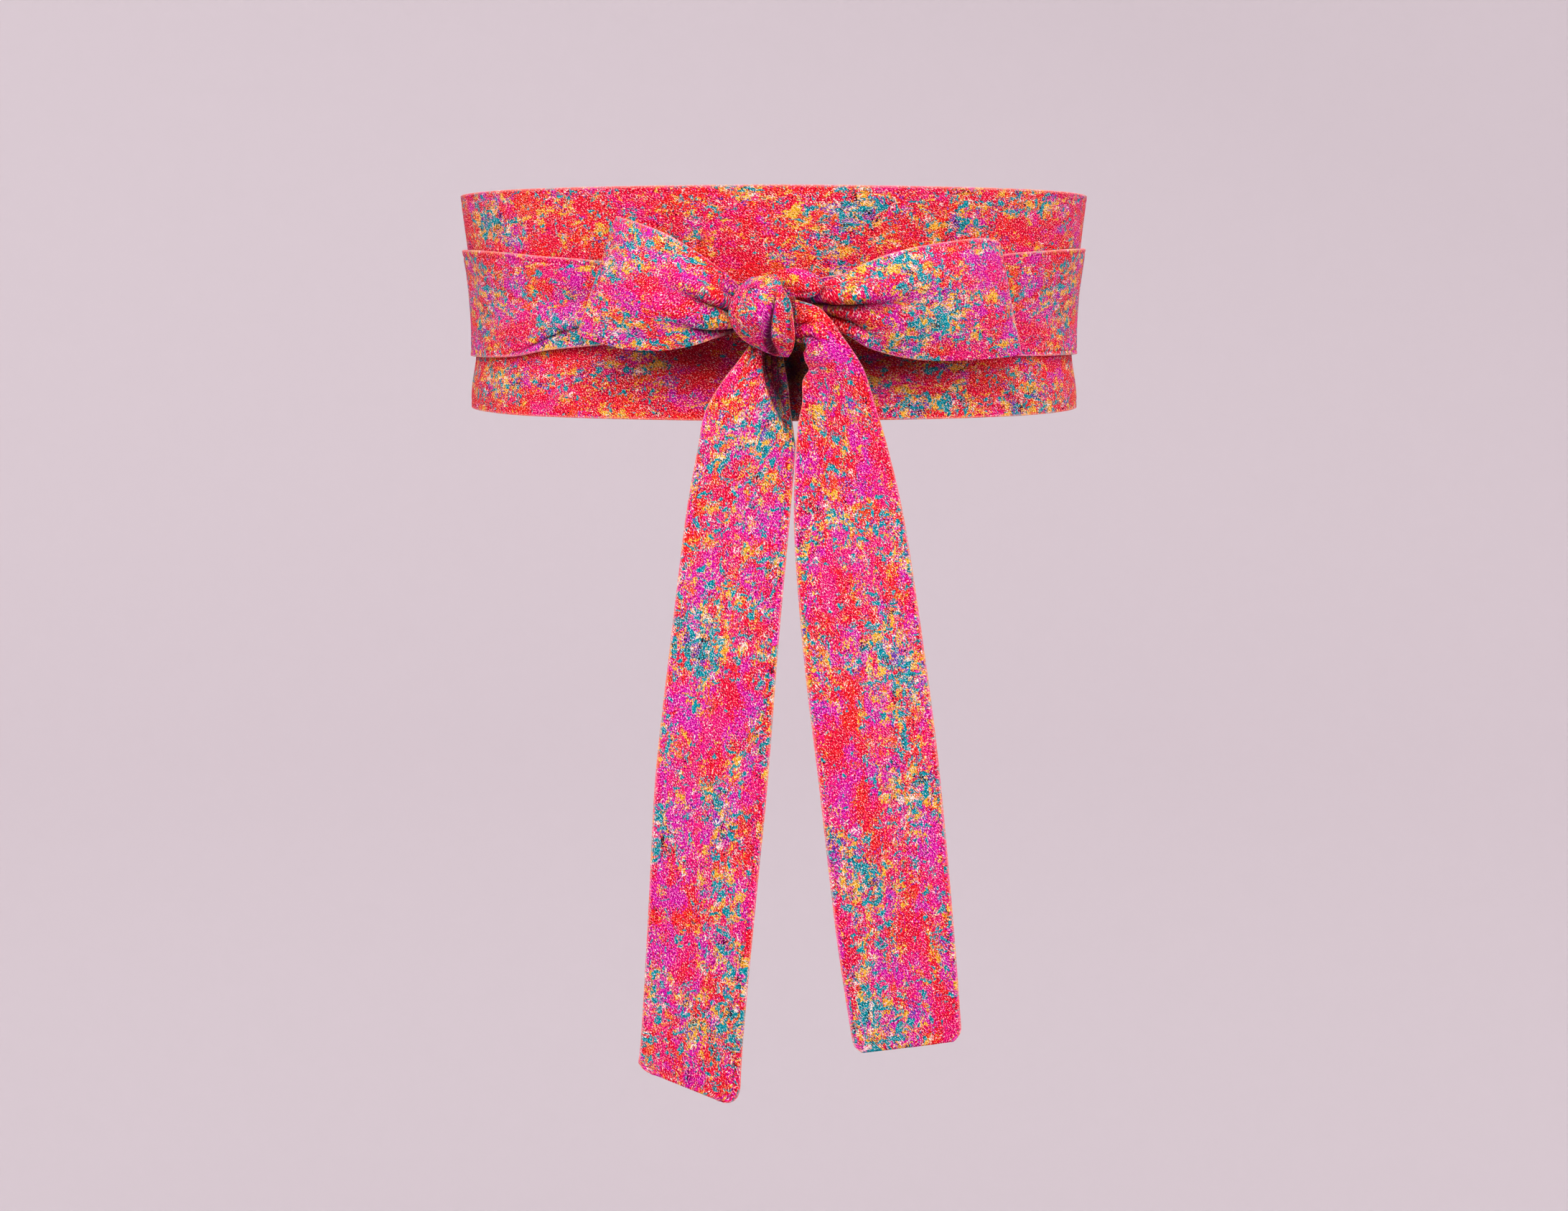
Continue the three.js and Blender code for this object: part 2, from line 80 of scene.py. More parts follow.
def mix(start, end, t):
    return start + (end - start) * t


def through(rows, position):
    """A smooth curve through the rows of a table, at row positions such as 2.5."""
    last = len(rows) - 1
    i = np.clip(np.floor(position).astype(int), 0, last - 1)
    padded = np.vstack([2 * rows[0] - rows[1], rows, 2 * rows[-1] - rows[-2]])
    p0, p1, p2, p3 = (padded[i + k] for k in range(4))
    t = np.asarray(position - i)[..., None]
    start = (p2 - p0) / 2
    end = (p3 - p1) / 2
    a = 2 * p1 - 2 * p2 + start + end
    b = -3 * p1 + 3 * p2 - 2 * start - end
    return ((a * t + b) * t + start) * t + p1


def read(rows, value):
    """The other columns of a table where its first column reaches a value, smoothly."""
    return through(rows[:, 1:], np.interp(value, rows[:, 0], np.arange(len(rows))))


turns = np.pi * (np.arange(GIRTH["steps"]) + 0.5) / GIRTH["steps"]
arcs = np.hypot(GIRTH["half_width"] * np.cos(turns), GIRTH["half_depth"] * np.sin(turns))
girth_table = np.concatenate([[0], np.cumsum(arcs) * np.pi / GIRTH["steps"]])
HALF_GIRTH = girth_table[-1]


def angle_at(s):
    """Angle round the waist at a distance from the front middle; past the back it goes on round."""
    beyond = np.abs(s) > HALF_GIRTH
    folded = np.where(beyond, 2 * HALF_GIRTH - np.abs(s), np.abs(s))
    angle = np.interp(folded, girth_table, np.linspace(0, np.pi, len(girth_table)))
    return np.sign(s) * np.where(beyond, 2 * np.pi - angle, angle)


def at_waist(s, z, out):
    """Points at distance s round the waist and height z, out outside the panel's inner face."""
    half = read(WAIST, z) + np.asarray(out)[..., None]
    angle = angle_at(s)
    return np.stack([half[..., 0] * np.sin(angle), -half[..., 1] * np.cos(angle), z], axis=-1)


# How far along a grid, as a share of its rows, it surely faces away from the waist.
NEAR_FIRST_ROW = 1 / 12


def outward(points):
    """A grid's unit normals, on the side that faces away from the waist near its first row."""
    normals = np.cross(np.gradient(points, axis=0), np.gradient(points, axis=1))
    normals /= np.linalg.norm(normals, axis=2, keepdims=True)
    row = int(len(points) * NEAR_FIRST_ROW)
    middle = points.shape[1] // 2
    facing = np.dot(normals[row, middle, :2], points[row, middle, :2])
    return normals * np.sign(facing)


def relief(points, push, slide):
    """Moves a grid in by push along its normals, and across itself by slide, both in mm."""
    across = np.gradient(points, axis=1)
    across /= np.linalg.norm(across, axis=2, keepdims=True)
    return points - outward(points) * push[..., None] + across * slide[..., None]


# A crease is pinched shut where its depth is "full" times its half width. The shade in it has a
# narrow and a wide part, each with its share and its width, and lies beside a lip's bottom, all
# in half widths.
PINCH = {"full": 2.3, "least": 0.1, "beside": 0.75, "parts": [(0.75, 0.7), (0.3, 2.0)]}
# Where a lip's crest and its overhang lie beside the bottom, and how wide the crest is, in half
# widths.
LIP = {"crest": 2.1, "crest_half": 1.3, "overhang": 0.9}


def furrows(table, key, distance_to):
    """Push and slide, in mm, of soft troughs, and how pinched the cloth is there, from 0 to 1, which
    is painted as shade. A trough's rows are: key, place, depth, half width. Its lip, in mm, is how
    far the cloth beside it rolls over it, from the side before it where the lip is below 0. A depth
    below 0 makes it a ridge."""
    push = np.zeros_like(key)
    slide = np.zeros_like(key)
    painted_shade = np.zeros_like(key)
    for lip, rows in table:
        rows = np.array(rows, float)
        place, depth, half = np.moveaxis(read(rows, key), -1, 0)
        half = np.maximum(half, rows[:, 3].min())
        depth = np.where((key > rows[0, 0]) & (key < rows[-1, 0]), depth, 0)
        distance = distance_to(place)
        push += depth * np.exp(-(distance / half) ** 2)
        share = lip * depth / np.abs(rows[:, 2]).max()
        side = np.sign(lip)
        steep = np.maximum(depth / half, 0)
        from_bottom = distance + side * PINCH["beside"] * half
        for part, spread in PINCH["parts"]:
            painted_shade += steep * part * np.exp(-(from_bottom / (spread * half)) ** 2)
        from_crest = (distance - side * LIP["crest"] * half) / (LIP["crest_half"] * half)
        from_overhang = (distance - side * LIP["overhang"] * half) / half
        push -= np.abs(share) * np.exp(-from_crest ** 2)
        slide -= share * np.exp(-from_overhang ** 2)
    return push, slide, np.clip(painted_shade / PINCH["full"] - PINCH["least"], 0, 1)


def ripple(points, size, height, seed):
    """A faint unevenness of the cloth: bumps of one size, in mm, smooth and the same each run."""
    places = points / size + seed
    flat = [noise.noise(Vector(place)) for place in places.reshape(-1, 3)]
    return height * np.array(flat).reshape(points.shape[:2])


# Places across a strip, in mm: from its edge, from a pressed line, and past the last line.
NEAR_EDGE = [0, 0.4, 1.0, 1.8]
NEAR_LINE = [-0.7, -0.35, 0, 0.35, 0.7]
PAST_LINE = [1.6, 2.8]


def across_stations(width, lines, step):
    """Places across a strip, in mm: close together at its edges and pressed lines."""
    near_lines = [line + shift for line in lines for shift in NEAR_LINE]
    fine = sorted(set(NEAR_EDGE + near_lines + [max(lines) + past for past in PAST_LINE]))
    inner = width - 2 * fine[-1]
    count = round(inner / step)
    middle = [fine[-1] + inner * (i + 1) / count for i in range(count - 1)]
    return np.array(fine + middle + [width - x for x in reversed(fine)])


def cloth(name, points, along, share, wide, width, thickness, painted_shade, from_fold=np.inf):
    """A closed shell of cloth round a grid of middle points, in mm. Its UV map "cloth" is each
    point's place on the flat cloth, in metres, where a squeezed strip shows only its middle,
    "strip" is the place between its two edges, with width as the strip's full width, or how far
    it is from a fold where that is nearer, and the last map holds painted shade: how pinched the
    cloth is, or how little light gets in there."""
    rows, columns = points.shape[:2]
    bpy.ops.mesh.primitive_grid_add(x_subdivisions=columns - 1, y_subdivisions=rows - 1, size=2)
    piece = bpy.context.object
    piece.name = name
    piece.data.name = name
    mesh = piece.data
    flat = np.empty(len(mesh.vertices) * 3)
    mesh.vertices.foreach_get("co", flat)
    flat = flat.reshape(-1, 3)
    column = np.rint((flat[:, 0] + 1) / 2 * (columns - 1)).astype(int)
    row = np.rint((flat[:, 1] + 1) / 2 * (rows - 1)).astype(int)
    mesh.vertices.foreach_set("co", (points[row, column] * MM).ravel())
    corners = np.empty(len(mesh.loops), dtype=int)
    mesh.loops.foreach_get("vertex_index", corners)
    maps = {
        "cloth": (along * MM, (width / 2 + (share - 0.5) * wide) * MM),
        "strip": (along * MM, np.minimum(share * width, from_fold) * MM),
        "crease": (painted_shade, share),
    }
    mesh.uv_layers[0].name = "cloth"
    mesh.uv_layers.new(name="strip")
    mesh.uv_layers.new(name="crease")
    for map_name, (first, second) in maps.items():
        places = np.stack([first[row, column], second[row, column]], axis=-1)
        mesh.uv_layers[map_name].uv.foreach_set("vector", places[corners].ravel())
    wall = piece.modifiers.new("wall", "SOLIDIFY")
    wall.thickness = thickness * MM
    wall.offset = 0
    wall.use_even_offset = False
    rounding = piece.modifiers.new("rounding", "SUBSURF")
    rounding.levels = 1
    rounding.render_levels = 1
    for modifier in ("wall", "rounding"):
        bpy.ops.object.modifier_apply(modifier=modifier)
    shell = bmesh.new()
    shell.from_mesh(mesh)
    if shell.calc_volume(signed=True) < 0:
        bmesh.ops.reverse_faces(shell, faces=shell.faces)
        shell.to_mesh(mesh)
    shell.free()
    bpy.ops.object.shade_smooth()
    bpy.ops.object.select_all(action="DESELECT")
    return piece


# The curve between an sRGB code and linear light.
SRGB = {"knee": 0.04045, "slope": 12.92, "shift": 0.055, "power": 2.4}


def linear(code):
    """Linear colour with alpha from an sRGB hex code."""
    bent = []
    for i in (0, 2, 4):
        part = int(code[i:i + 2], 16) / 255
        curved = ((part + SRGB["shift"]) / (1 + SRGB["shift"])) ** SRGB["power"]
        bent.append(part / SRGB["slope"] if part <= SRGB["knee"] else curved)
    return (*bent, 1)


# Which inputs of a mix node hold its share and its two colours, and which output the mixed one.
MIX_INPUTS = (0, 6, 7)
MIX_OUTPUT = 2
# The value that a noise texture varies about.
NOISE_MIDDLE = 0.5


def add_node(tree, kind, settings, links):
    """A node with its settings, by attribute, input name or input number, and its links."""
    made = tree.nodes.new(kind)
    for key, value in settings.items():
        if isinstance(key, str) and hasattr(made, key):
            setattr(made, key, value)
        else:
            made.inputs[key].default_value = value
    for key, socket in links.items():
        tree.links.new(socket, made.inputs[key])
    return made


# The print, from its ground up: each row lays a colour over the last where its noise is above
# cut. size is how far apart its patches are, in mm along and across the cloth, rough says how
# broken their edges are, grain how far they break up into specks, busy how far they keep to the
# busy places, and panel how much rarer they are on the panel, which is cut from a redder part.
GROUND = "E81A4C"
PRINT = [
    {"colour": "F02C36", "size": (18, 10), "rough": 0.60, "cut": 0.52, "grain": 0.28, "busy": 0.0,
     "panel": -0.01},
    {"colour": "EC2484", "size": (20, 11), "rough": 0.60, "cut": 0.516, "grain": 0.28, "busy": 0.0,
     "panel": 0.065},
    {"colour": "D824AA", "size": (15, 9), "rough": 0.62, "cut": 0.53, "grain": 0.28, "busy": 0.2,
     "panel": 0.075},
    {"colour": "F2642C", "size": (13, 6), "rough": 0.68, "cut": 0.605, "grain": 0.42, "busy": 0.35,
     "panel": 0.005},
    {"colour": "F4BA40", "size": (7, 4.5), "rough": 0.70, "cut": 0.592, "grain": 0.50, "busy": 0.75,
     "panel": 0.005},
    {"colour": "7C4CB4", "size": (6, 3.5), "rough": 0.68, "cut": 0.665, "grain": 0.50, "busy": 0.7,
     "panel": 0.01},
    {"colour": "F8E0D6", "size": (3.4, 2.4), "rough": 0.60, "cut": 0.68, "grain": 0.90, "busy": 0.6,
     "panel": 0.02},
    {"colour": "0AA0AC", "size": (4.4, 2.4), "rough": 0.55, "cut": 0.618, "grain": 0.15, "busy": 0.5,
     "panel": 0.018},
    {"colour": "0AA0AC", "size": (2.2, 3.8), "rough": 0.55, "cut": 0.628, "grain": 0.15, "busy": 0.5,
     "panel": 0.018},
    {"colour": "4A1434", "size": (5, 3), "rough": 0.60, "cut": 0.75, "grain": 1.00, "busy": 0.6,
     "panel": 0.0},
]
# The finest steps that a patch's edge is broken into, in mm.
PATCH_STEP = 0.7
# The busy places, 40 mm or so across, where gold, teal and pale flecks gather, and the specks of
# single threads, in mm along and across.
BUSY = {"size": (40, 24), "detail": 3, "rough": 0.6, "spread": 0.9}
SPECK = {"size": (0.8, 0.6), "detail": 1, "rough": 0.6, "soft": 0.04}
# How far patch edges wander, and over what length along and across, in mm.
WANDER = {"size": (100 / 11, 6.25), "detail": 3, "rough": 0.7, "by": (7, 7, 0)}
# Each colour's noise is read this much further on, so that no two lie alike.
COLOURS_APART = (17.3, 9.1, 5.7)
# Undyed weft shows between the dyed warp threads along the twill's diagonal: each colour is a mix
# of paler and deeper streaks. Real ribs are about 0.5 mm apart; here streaks are 0.8 by 0.4 mm, as
# coarse as they need to be to show. deep and bare say where in the noise each kind begins and ends,
# and height is how far a rib stands up, in metres.
THREAD = {
    "length": 0.78, "apart": 0.4, "turn": -34, "pale": "FFE4DC", "paler": 0.66, "deeper": 0.36,
    "height": 0.00009, "detail": 1, "rough": 0.5, "deep": (0.36, 0.52), "bare": (0.58, 0.66),
}
# Cotton is matt: rough, with almost no highlight and a trace of fuzz. Edges are painted paler, in mm
# from the edge, for wear and as a painted highlight where the pressed fold catches the light, and a
# pinched crease, or any other place little light reaches, gets painted shade close to black maroon.
PALE_EDGE_WEAR_AND_LIGHT = {"reach": 1.3, "share": 0.5}
SHADE_PAINT = {"colour": "2C0517", "share": 0.88}
MATT_COTTON = {
    "Roughness": 0.9, "IOR": 1.45, "Specular IOR Level": 0.2, "Sheen Weight": 0.05,
    "Sheen Roughness": 0.45,
}
# How strongly the ribs catch the light.
RIBS = 0.6


def printed_cotton(name, width, worn_and_lit_colour, redder):
    """Printed cotton twill: dyed in a mottle of small jagged patches that run along the cloth,
    matt, with fine diagonal ribs, painted paler at its edges for wear and as a highlight, and
    darkened by painted shade where its shade map says."""
    material = bpy.data.materials.new(name)
    material.use_nodes = True
    tree = material.node_tree
    tree.nodes.clear()

    def maths(operation, first, second):
        settings = {"operation": operation}
        links = {}
        for index, value in enumerate((first, second)):
            (links if hasattr(value, "links") else settings)[index] = value
        return add_node(tree, "ShaderNodeMath", settings, links).outputs[0]

    def vector(operation, first, second):
        settings = {"operation": operation}
        links = {0: first}
        (links if hasattr(second, "links") else settings)[1] = second
        return add_node(tree, "ShaderNodeVectorMath", settings, links).outputs[0]

    def step(value, low, high):
        settings = {"interpolation_type": "SMOOTHSTEP", "From Min": low, "From Max": high}
        return add_node(tree, "ShaderNodeMapRange", settings, {"Value": value}).outputs[0]

    def texture(place, detail, rough):
        settings = {"Scale": 1.0, "Detail": detail, "Roughness": rough}
        return add_node(tree, "ShaderNodeTexNoise", settings, {"Vector": place})

    def blend(share, under, over, mode="MIX"):
        settings = {"data_type": "RGBA", "blend_type": mode}
        links = {}
        for index, value in zip(MIX_INPUTS, (share, under, over)):
            (links if hasattr(value, "links") else settings)[index] = value
        return add_node(tree, "ShaderNodeMix", settings, links).outputs[MIX_OUTPUT]

    def spread_noise(where, kind):
        scale = (1 / kind["size"][0], 1 / kind["size"][1], 1)
        return texture(vector("MULTIPLY", where, scale), kind["detail"], kind["rough"])

    place = add_node(tree, "ShaderNodeUVMap", {"uv_map": "cloth"}, {}).outputs[0]
    millimetres = vector("MULTIPLY", place, (1 / MM,) * 3)
    # Every patch edge wanders by a few millimetres, as dye does.
    wander = spread_noise(millimetres, WANDER).outputs["Color"]
    moved = vector("MULTIPLY", vector("SUBTRACT", wander, (NOISE_MIDDLE,) * 3), WANDER["by"])
    dyed = vector("ADD", millimetres, moved)
    busy_noise = spread_noise(dyed, BUSY).outputs["Fac"]
    busy = maths("MULTIPLY", maths("SUBTRACT", busy_noise, NOISE_MIDDLE), BUSY["spread"])
    specks = spread_noise(millimetres, SPECK).outputs["Color"]
    specks = add_node(tree, "ShaderNodeSeparateXYZ", {}, {0: specks}).outputs
    colour = add_node(tree, "ShaderNodeRGB", {}, {})
    colour.outputs[0].default_value = linear(GROUND)
    colour = colour.outputs[0]
    for index, layer in enumerate(PRINT):
        scale = (1 / layer["size"][0], 1 / layer["size"][1], 1)
        apart = tuple(index * shift for shift in COLOURS_APART)
        where = vector("ADD", vector("MULTIPLY", dyed, scale), apart)
        detail = math.log2(max(layer["size"]) / PATCH_STEP)
        level = texture(where, detail, layer["rough"]).outputs["Fac"]
        speck = maths("SUBTRACT", specks[index % len(specks)], NOISE_MIDDLE)
        raised = maths("ADD", level, maths("MULTIPLY", speck, layer["grain"]))
        raised = maths("ADD", raised, maths("MULTIPLY", busy, layer["busy"]))
        cut = layer["cut"] + redder * layer["panel"]
        share = step(raised, cut - SPECK["soft"], cut + SPECK["soft"])
        colour = blend(share, colour, linear(layer["colour"]))
    # Threads: short diagonal streaks, from deeper dye to bare weft.
    turned = add_node(
        tree, "ShaderNodeMapping", {"Rotation": (0, 0, math.radians(THREAD["turn"]))},
        {"Vector": millimetres},
    ).outputs[0]
    streak = vector("MULTIPLY", turned, (1 / THREAD["length"], 1 / THREAD["apart"], 1))
    yarn = texture(streak, THREAD["detail"], THREAD["rough"]).outputs["Fac"]
    deep = blend(1.0, colour, (THREAD["deeper"],) * 3 + (1,), "MULTIPLY")
    bare = blend(THREAD["paler"], colour, linear(THREAD["pale"]))
    colour = blend(step(yarn, *THREAD["deep"]), deep, colour)
    colour = blend(step(yarn, *THREAD["bare"]), colour, bare)
    # A pressed edge is painted paler: partly wear, partly a painted highlight where the fold catches
    # the light.
    strip = add_node(tree, "ShaderNodeUVMap", {"uv_map": "strip"}, {}).outputs[0]
    strip = vector("MULTIPLY", strip, (1 / MM,) * 3)
    across = add_node(tree, "ShaderNodeSeparateXYZ", {}, {0: strip}).outputs[1]
    from_edge = maths("MINIMUM", across, maths("SUBTRACT", width, across))
    rubbed_and_lit = maths("SUBTRACT", 1.0, step(from_edge, 0.0, PALE_EDGE_WEAR_AND_LIGHT["reach"]))
    worn_and_lit = maths("MULTIPLY", rubbed_and_lit, PALE_EDGE_WEAR_AND_LIGHT["share"])
    colour = blend(worn_and_lit, colour, linear(worn_and_lit_colour))
    # Little light gets into a crease that is pinched shut.
    crease = add_node(tree, "ShaderNodeUVMap", {"uv_map": "crease"}, {}).outputs[0]
    crease = add_node(tree, "ShaderNodeSeparateXYZ", {}, {0: crease}).outputs[0]
    colour = blend(maths("MULTIPLY", crease, SHADE_PAINT["share"]), colour, linear(SHADE_PAINT["colour"]))
    # The same streaks stand up a little as ribs.
    bump = add_node(
        tree, "ShaderNodeBump", {"Strength": RIBS, "Distance": THREAD["height"]}, {"Height": yarn},
    ).outputs[0]
    shader = add_node(
        tree, "ShaderNodeBsdfPrincipled", MATT_COTTON, {"Base Color": colour, "Normal": bump},
    ).outputs[0]
    add_node(tree, "ShaderNodeOutputMaterial", {}, {"Surface": shader})
    return material


# The colour painted on a pressed edge: wear that rubs the dye paler, and a painted highlight where
# the fold catches the light.
EDGE_WEAR_AND_LIGHT_COLOUR = "FFB4A6"
panel_cotton = printed_cotton("printed_cotton_twill_panel", PANEL["height"], EDGE_WEAR_AND_LIGHT_COLOUR, 1)

# The pressed line inside the panel's edges, in mm: how far in, how deep, and its half width.
PANEL_LINE = {"inset": 3.2, "depth": 0.16, "half": 0.5}
# Its stations along and the step between them across, its ripples' size, height and seed, and where
# along the printed cloth it is cut from, in mm.
PANEL_GRID = {"along": 161, "across": 3.6, "ripples": (26, 0.35, 3.0), "cut_at": 1400}
panel_across = across_stations(PANEL["height"], [PANEL_LINE["inset"]], PANEL_GRID["across"])
panel_along = np.linspace(-PANEL["length"] / 2, PANEL["length"] / 2, PANEL_GRID["along"])
s, across = np.meshgrid(panel_along, panel_across, indexing="ij")
share = across / PANEL["height"]
edges = read(PANEL_EDGE, np.abs(s))
height = mix(edges[..., 0], edges[..., 1], share)
points = at_waist(s, height, PANEL["thickness"] / 2)
from_edge = np.minimum(across, PANEL["height"] - across)
line = (from_edge - PANEL_LINE["inset"]) / PANEL_LINE["half"]
push = PANEL_LINE["depth"] * np.exp(-line ** 2) + ripple(points, *PANEL_GRID["ripples"])
points = relief(points, push, np.zeros_like(push))
wide = edges[..., 0] - edges[..., 1]
# Little light gets in behind the knot, between the two hanging ends and close under the loops.
# Rows are: s, height, half length, half height, shade.
SHADED = [
    (8, -31, 9, 22, 1.0),
    (-30, -22, 24, 7.5, 0.62),
    (40, -24, 26, 8.5, 0.66),
]
shaded = sum(
    shade * np.exp(-((s - middle) / half_long) ** 2 - ((height - level) / half_high) ** 2)
    for middle, level, half_long, half_high, shade in SHADED
)
panel = cloth(
    "panel_cloth", points, s + PANEL_GRID["cut_at"], share, wide, PANEL["height"],
    PANEL["thickness"], shaded,
)
panel.data.materials.append(panel_cotton)
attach(panel, "root")
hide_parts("panel")


# ---------------------------------------------------------------- the ties round the waist
# Each tie is a strip of the same cotton sewn as a tube, turned and pressed flat to 46 mm, and sewn
# into a tapered end of the panel. It crosses the other at the back, where both are gathered a
# little, and comes round over the panel, pulled tight and narrower towards the knot.

TIE = {"width": 46.0, "thickness": 1.8}
# The gap at the seam between a tie and the panel's end, and how far out, in mm from the panel's
# inner face, the middle of each layer's wall lies.
SEAM_GAP = 0.35
FIRST_LAYER = PANEL["thickness"] / 2
SECOND_LAYER = 3.9
# At the back the ties are gathered a little and pass edge to edge, one above the other, before each
# lies over the other's root. Lengths run round the waist from the back middle.
BACK = {
    "apart": 17.6, "gathered": 16.9, "flat": 12, "climb_root": 46, "climb_side": 84,
    "square": 32, "layer_shift": 10,
}
WRAP_LEFT = np.array([
    # s, middle, half, out
    [12.6, -0.4, 9.0, 10.2],
    [30, -0.2, 12.2, 7.4],
    [50, 0.0, 15.0, 6.2],
    [74, 0.2, 17.4, 5.8],
    [96, 0.0, 19.2, 5.2],
    [116, -0.6, 21.4, 4.2],
    [140, -0.3, 22.4, SECOND_LAYER],
    [180, 0.3, 22.6, SECOND_LAYER],
    [230, 1.5, 22.9, SECOND_LAYER],
])
WRAP_RIGHT = np.array([
    # s, middle, half, out
    [9.0, -0.2, 9.0, 10.2],
    [30, -0.2, 12.4, 6.8],
    [50, -0.4, 15.4, 5.0],
    [74, -0.6, 18.4, 4.2],
    [96, -0.6, 20.6, SECOND_LAYER],
    [116, -0.2, 21.6, SECOND_LAYER],
    [140, 0.4, 22.2, SECOND_LAYER],
    [180, 0.6, 22.6, SECOND_LAYER],
    [230, -1.5, 22.9, SECOND_LAYER],
])
TIE_ROOT = 2 * HALF_GIRTH - PANEL["length"] / 2 - SEAM_GAP

# Folds along each tie. Rows are: s, share across from the upper edge, depth, half width.
LEFT_FOLDS = [
    (-0.8, [(14, 0.70, 2.6, 1.3), (40, 0.71, 2.8, 1.1), (66, 0.735, 2.4, 0.8), (82, 0.776, 2.2, 0.75),
            (91.5, 0.837, 2.0, 0.7), (105, 0.915, 1.5, 0.65), (116, 0.955, 0.9, 0.6),
            (124, 0.98, 0, 0.6)]),
    (0, [(60, 0.42, 0, 3), (78, 0.46, 1.7, 4.2), (92, 0.48, 1.3, 4.6), (116, 0.5, 0, 5)]),
    (0, [(12, 0.3, 1.4, 2), (30, 0.3, 1.2, 2.4), (58, 0.26, 0, 3)]),
    (0, [(128, 0.2, 0, 5), (150, 0.24, 0.5, 6), (176, 0.22, 0, 6)]),
]
RIGHT_FOLDS = [
    (0, [(9, 0.3, 1.4, 2), (30, 0.32, 1.2, 2.4), (58, 0.3, 0, 3)]),
    (0, [(9, 0.66, 1.4, 2), (34, 0.62, 1.0, 2.6), (70, 0.6, 0, 3)]),
    (0, [(100, 0.7, 0, 4), (128, 0.72, 0.5, 6), (168, 0.7, 0, 6)]),
]
# Folds where a tie is gathered at the back, by distance from the back middle.
BACK_FOLDS = {
    "left": [
        (-0.5, [(-66, 0.3, 0, 2), (-30, 0.27, 0.9, 2.2), (4, 0.24, 1.2, 2.0), (46, 0.3, 0, 2)]),
        (-0.6, [(-48, 0.54, 0, 2), (-14, 0.52, 1.1, 2.2), (16, 0.5, 1.0, 2.4), (38, 0.48, 0, 2)]),
        (0.4, [(-38, 0.74, 0, 2), (-8, 0.76, 1.1, 1.8), (24, 0.72, 0, 2)]),
    ],
    "right": [
        (0.5, [(-42, 0.22, 0, 2), (-4, 0.25, 1.0, 1.8), (30, 0.28, 0, 2)]),
        (0.6, [(-60, 0.46, 0, 2), (-20, 0.48, 1.1, 2.4), (18, 0.52, 1.1, 2.0), (44, 0.55, 0, 2)]),
        (-0.4, [(-30, 0.72, 0, 2), (2, 0.74, 1.2, 2.0), (40, 0.7, 0, 2)]),
    ],
}
# Soft dimples across each tie. Rows are: share across, s, depth, half width.
LEFT_DIMPLES = [
    (0, [(0.18, 150, 0, 3), (0.36, 149, 1.0, 3.6), (0.54, 147, 0.9, 4.0), (0.7, 146, 0, 4)]),
    (0, [(0.3, 128, 0, 4), (0.6, 132, 0.5, 5), (0.85, 134, 0, 5)]),
]
RIGHT_DIMPLES = [
    (0, [(0.2, 141, 0, 4), (0.5, 143, 0.5, 5), (0.85, 144, 0, 5)]),
]
# Pressed lines inside a tie's two edges: how far in, and depth at the upper and lower one.
TIE_LINES = {
    "left": {"inset": 3.0, "upper": 0.75, "lower": 0.25, "half": 0.5},
    "right": {"inset": 2.0, "upper": 0.3, "lower": 0.8, "half": 0.45},
}


def pressed(across, lines):
    """Depth, in mm, of a tie's pressed lines."""
    upper = (across - lines["inset"]) / lines["half"]
    lower = (TIE["width"] - across - lines["inset"]) / lines["half"]
    return lines["upper"] * np.exp(-upper ** 2) + lines["lower"] * np.exp(-lower ** 2)


def tie_round_waist(rows, side, rise, s, share):
    """Middle points of a tie from the knot round its own side and over the back to its root."""
    side_end = rows[-1]
    past = s > side_end[0]
    middle, half, out = np.moveaxis(read(rows, s), -1, 0)

    flat_from = HALF_GIRTH - BACK["flat"]
    flat_to = HALF_GIRTH + BACK["flat"]

    def height_at(where):
        before = smooth(flat_from - BACK["climb_side"], flat_from, where)
        after = smooth(flat_to, flat_to + BACK["climb_root"], where)
        level = mix(side_end[1], rise * BACK["apart"], before) * (1 - after)
        return np.where(where > side_end[0], level, read(rows, where)[..., 0]), before * (1 - after)

    height, gathering = height_at(s)
    squared = smooth(side_end[0], side_end[0] + BACK["square"], s)
    behind = mix(mix(side_end[2], TIE["width"] / 2, squared), BACK["gathered"], gathering)
    half = np.where(past, behind, half)
    slope = (height_at(s + 1)[0] - height_at(s - 1)[0]) / 2
    lean = np.arctan(slope) * squared * (1 - smooth(TIE_ROOT - BACK["square"], TIE_ROOT, s))
    up = (1 - 2 * share) * half
    distance = s - up * np.sin(lean)
    inward = smooth(HALF_GIRTH - BACK["layer_shift"], HALF_GIRTH + BACK["layer_shift"], distance)
    side_out = read(rows, np.minimum(distance, side_end[0]))[..., 2]
    out = np.where(distance > side_end[0], mix(SECOND_LAYER, FIRST_LAYER, inward), side_out)
    return at_waist(side * distance, height + up * np.cos(lean), out), 2 * half


tie_cotton = printed_cotton("printed_cotton_twill_tie", TIE["width"], EDGE_WEAR_AND_LIGHT_COLOUR, 0)
# Stations along a tie, the step between them across, and its ripples' size and height, in mm.
WRAP_GRID = {"along": 151, "across": 1.5, "ripples": (17, 0.3)}
tie_lines = [TIE_LINES["right"]["inset"], TIE_LINES["left"]["inset"]]
tie_across = across_stations(TIE["width"], tie_lines, WRAP_GRID["across"])
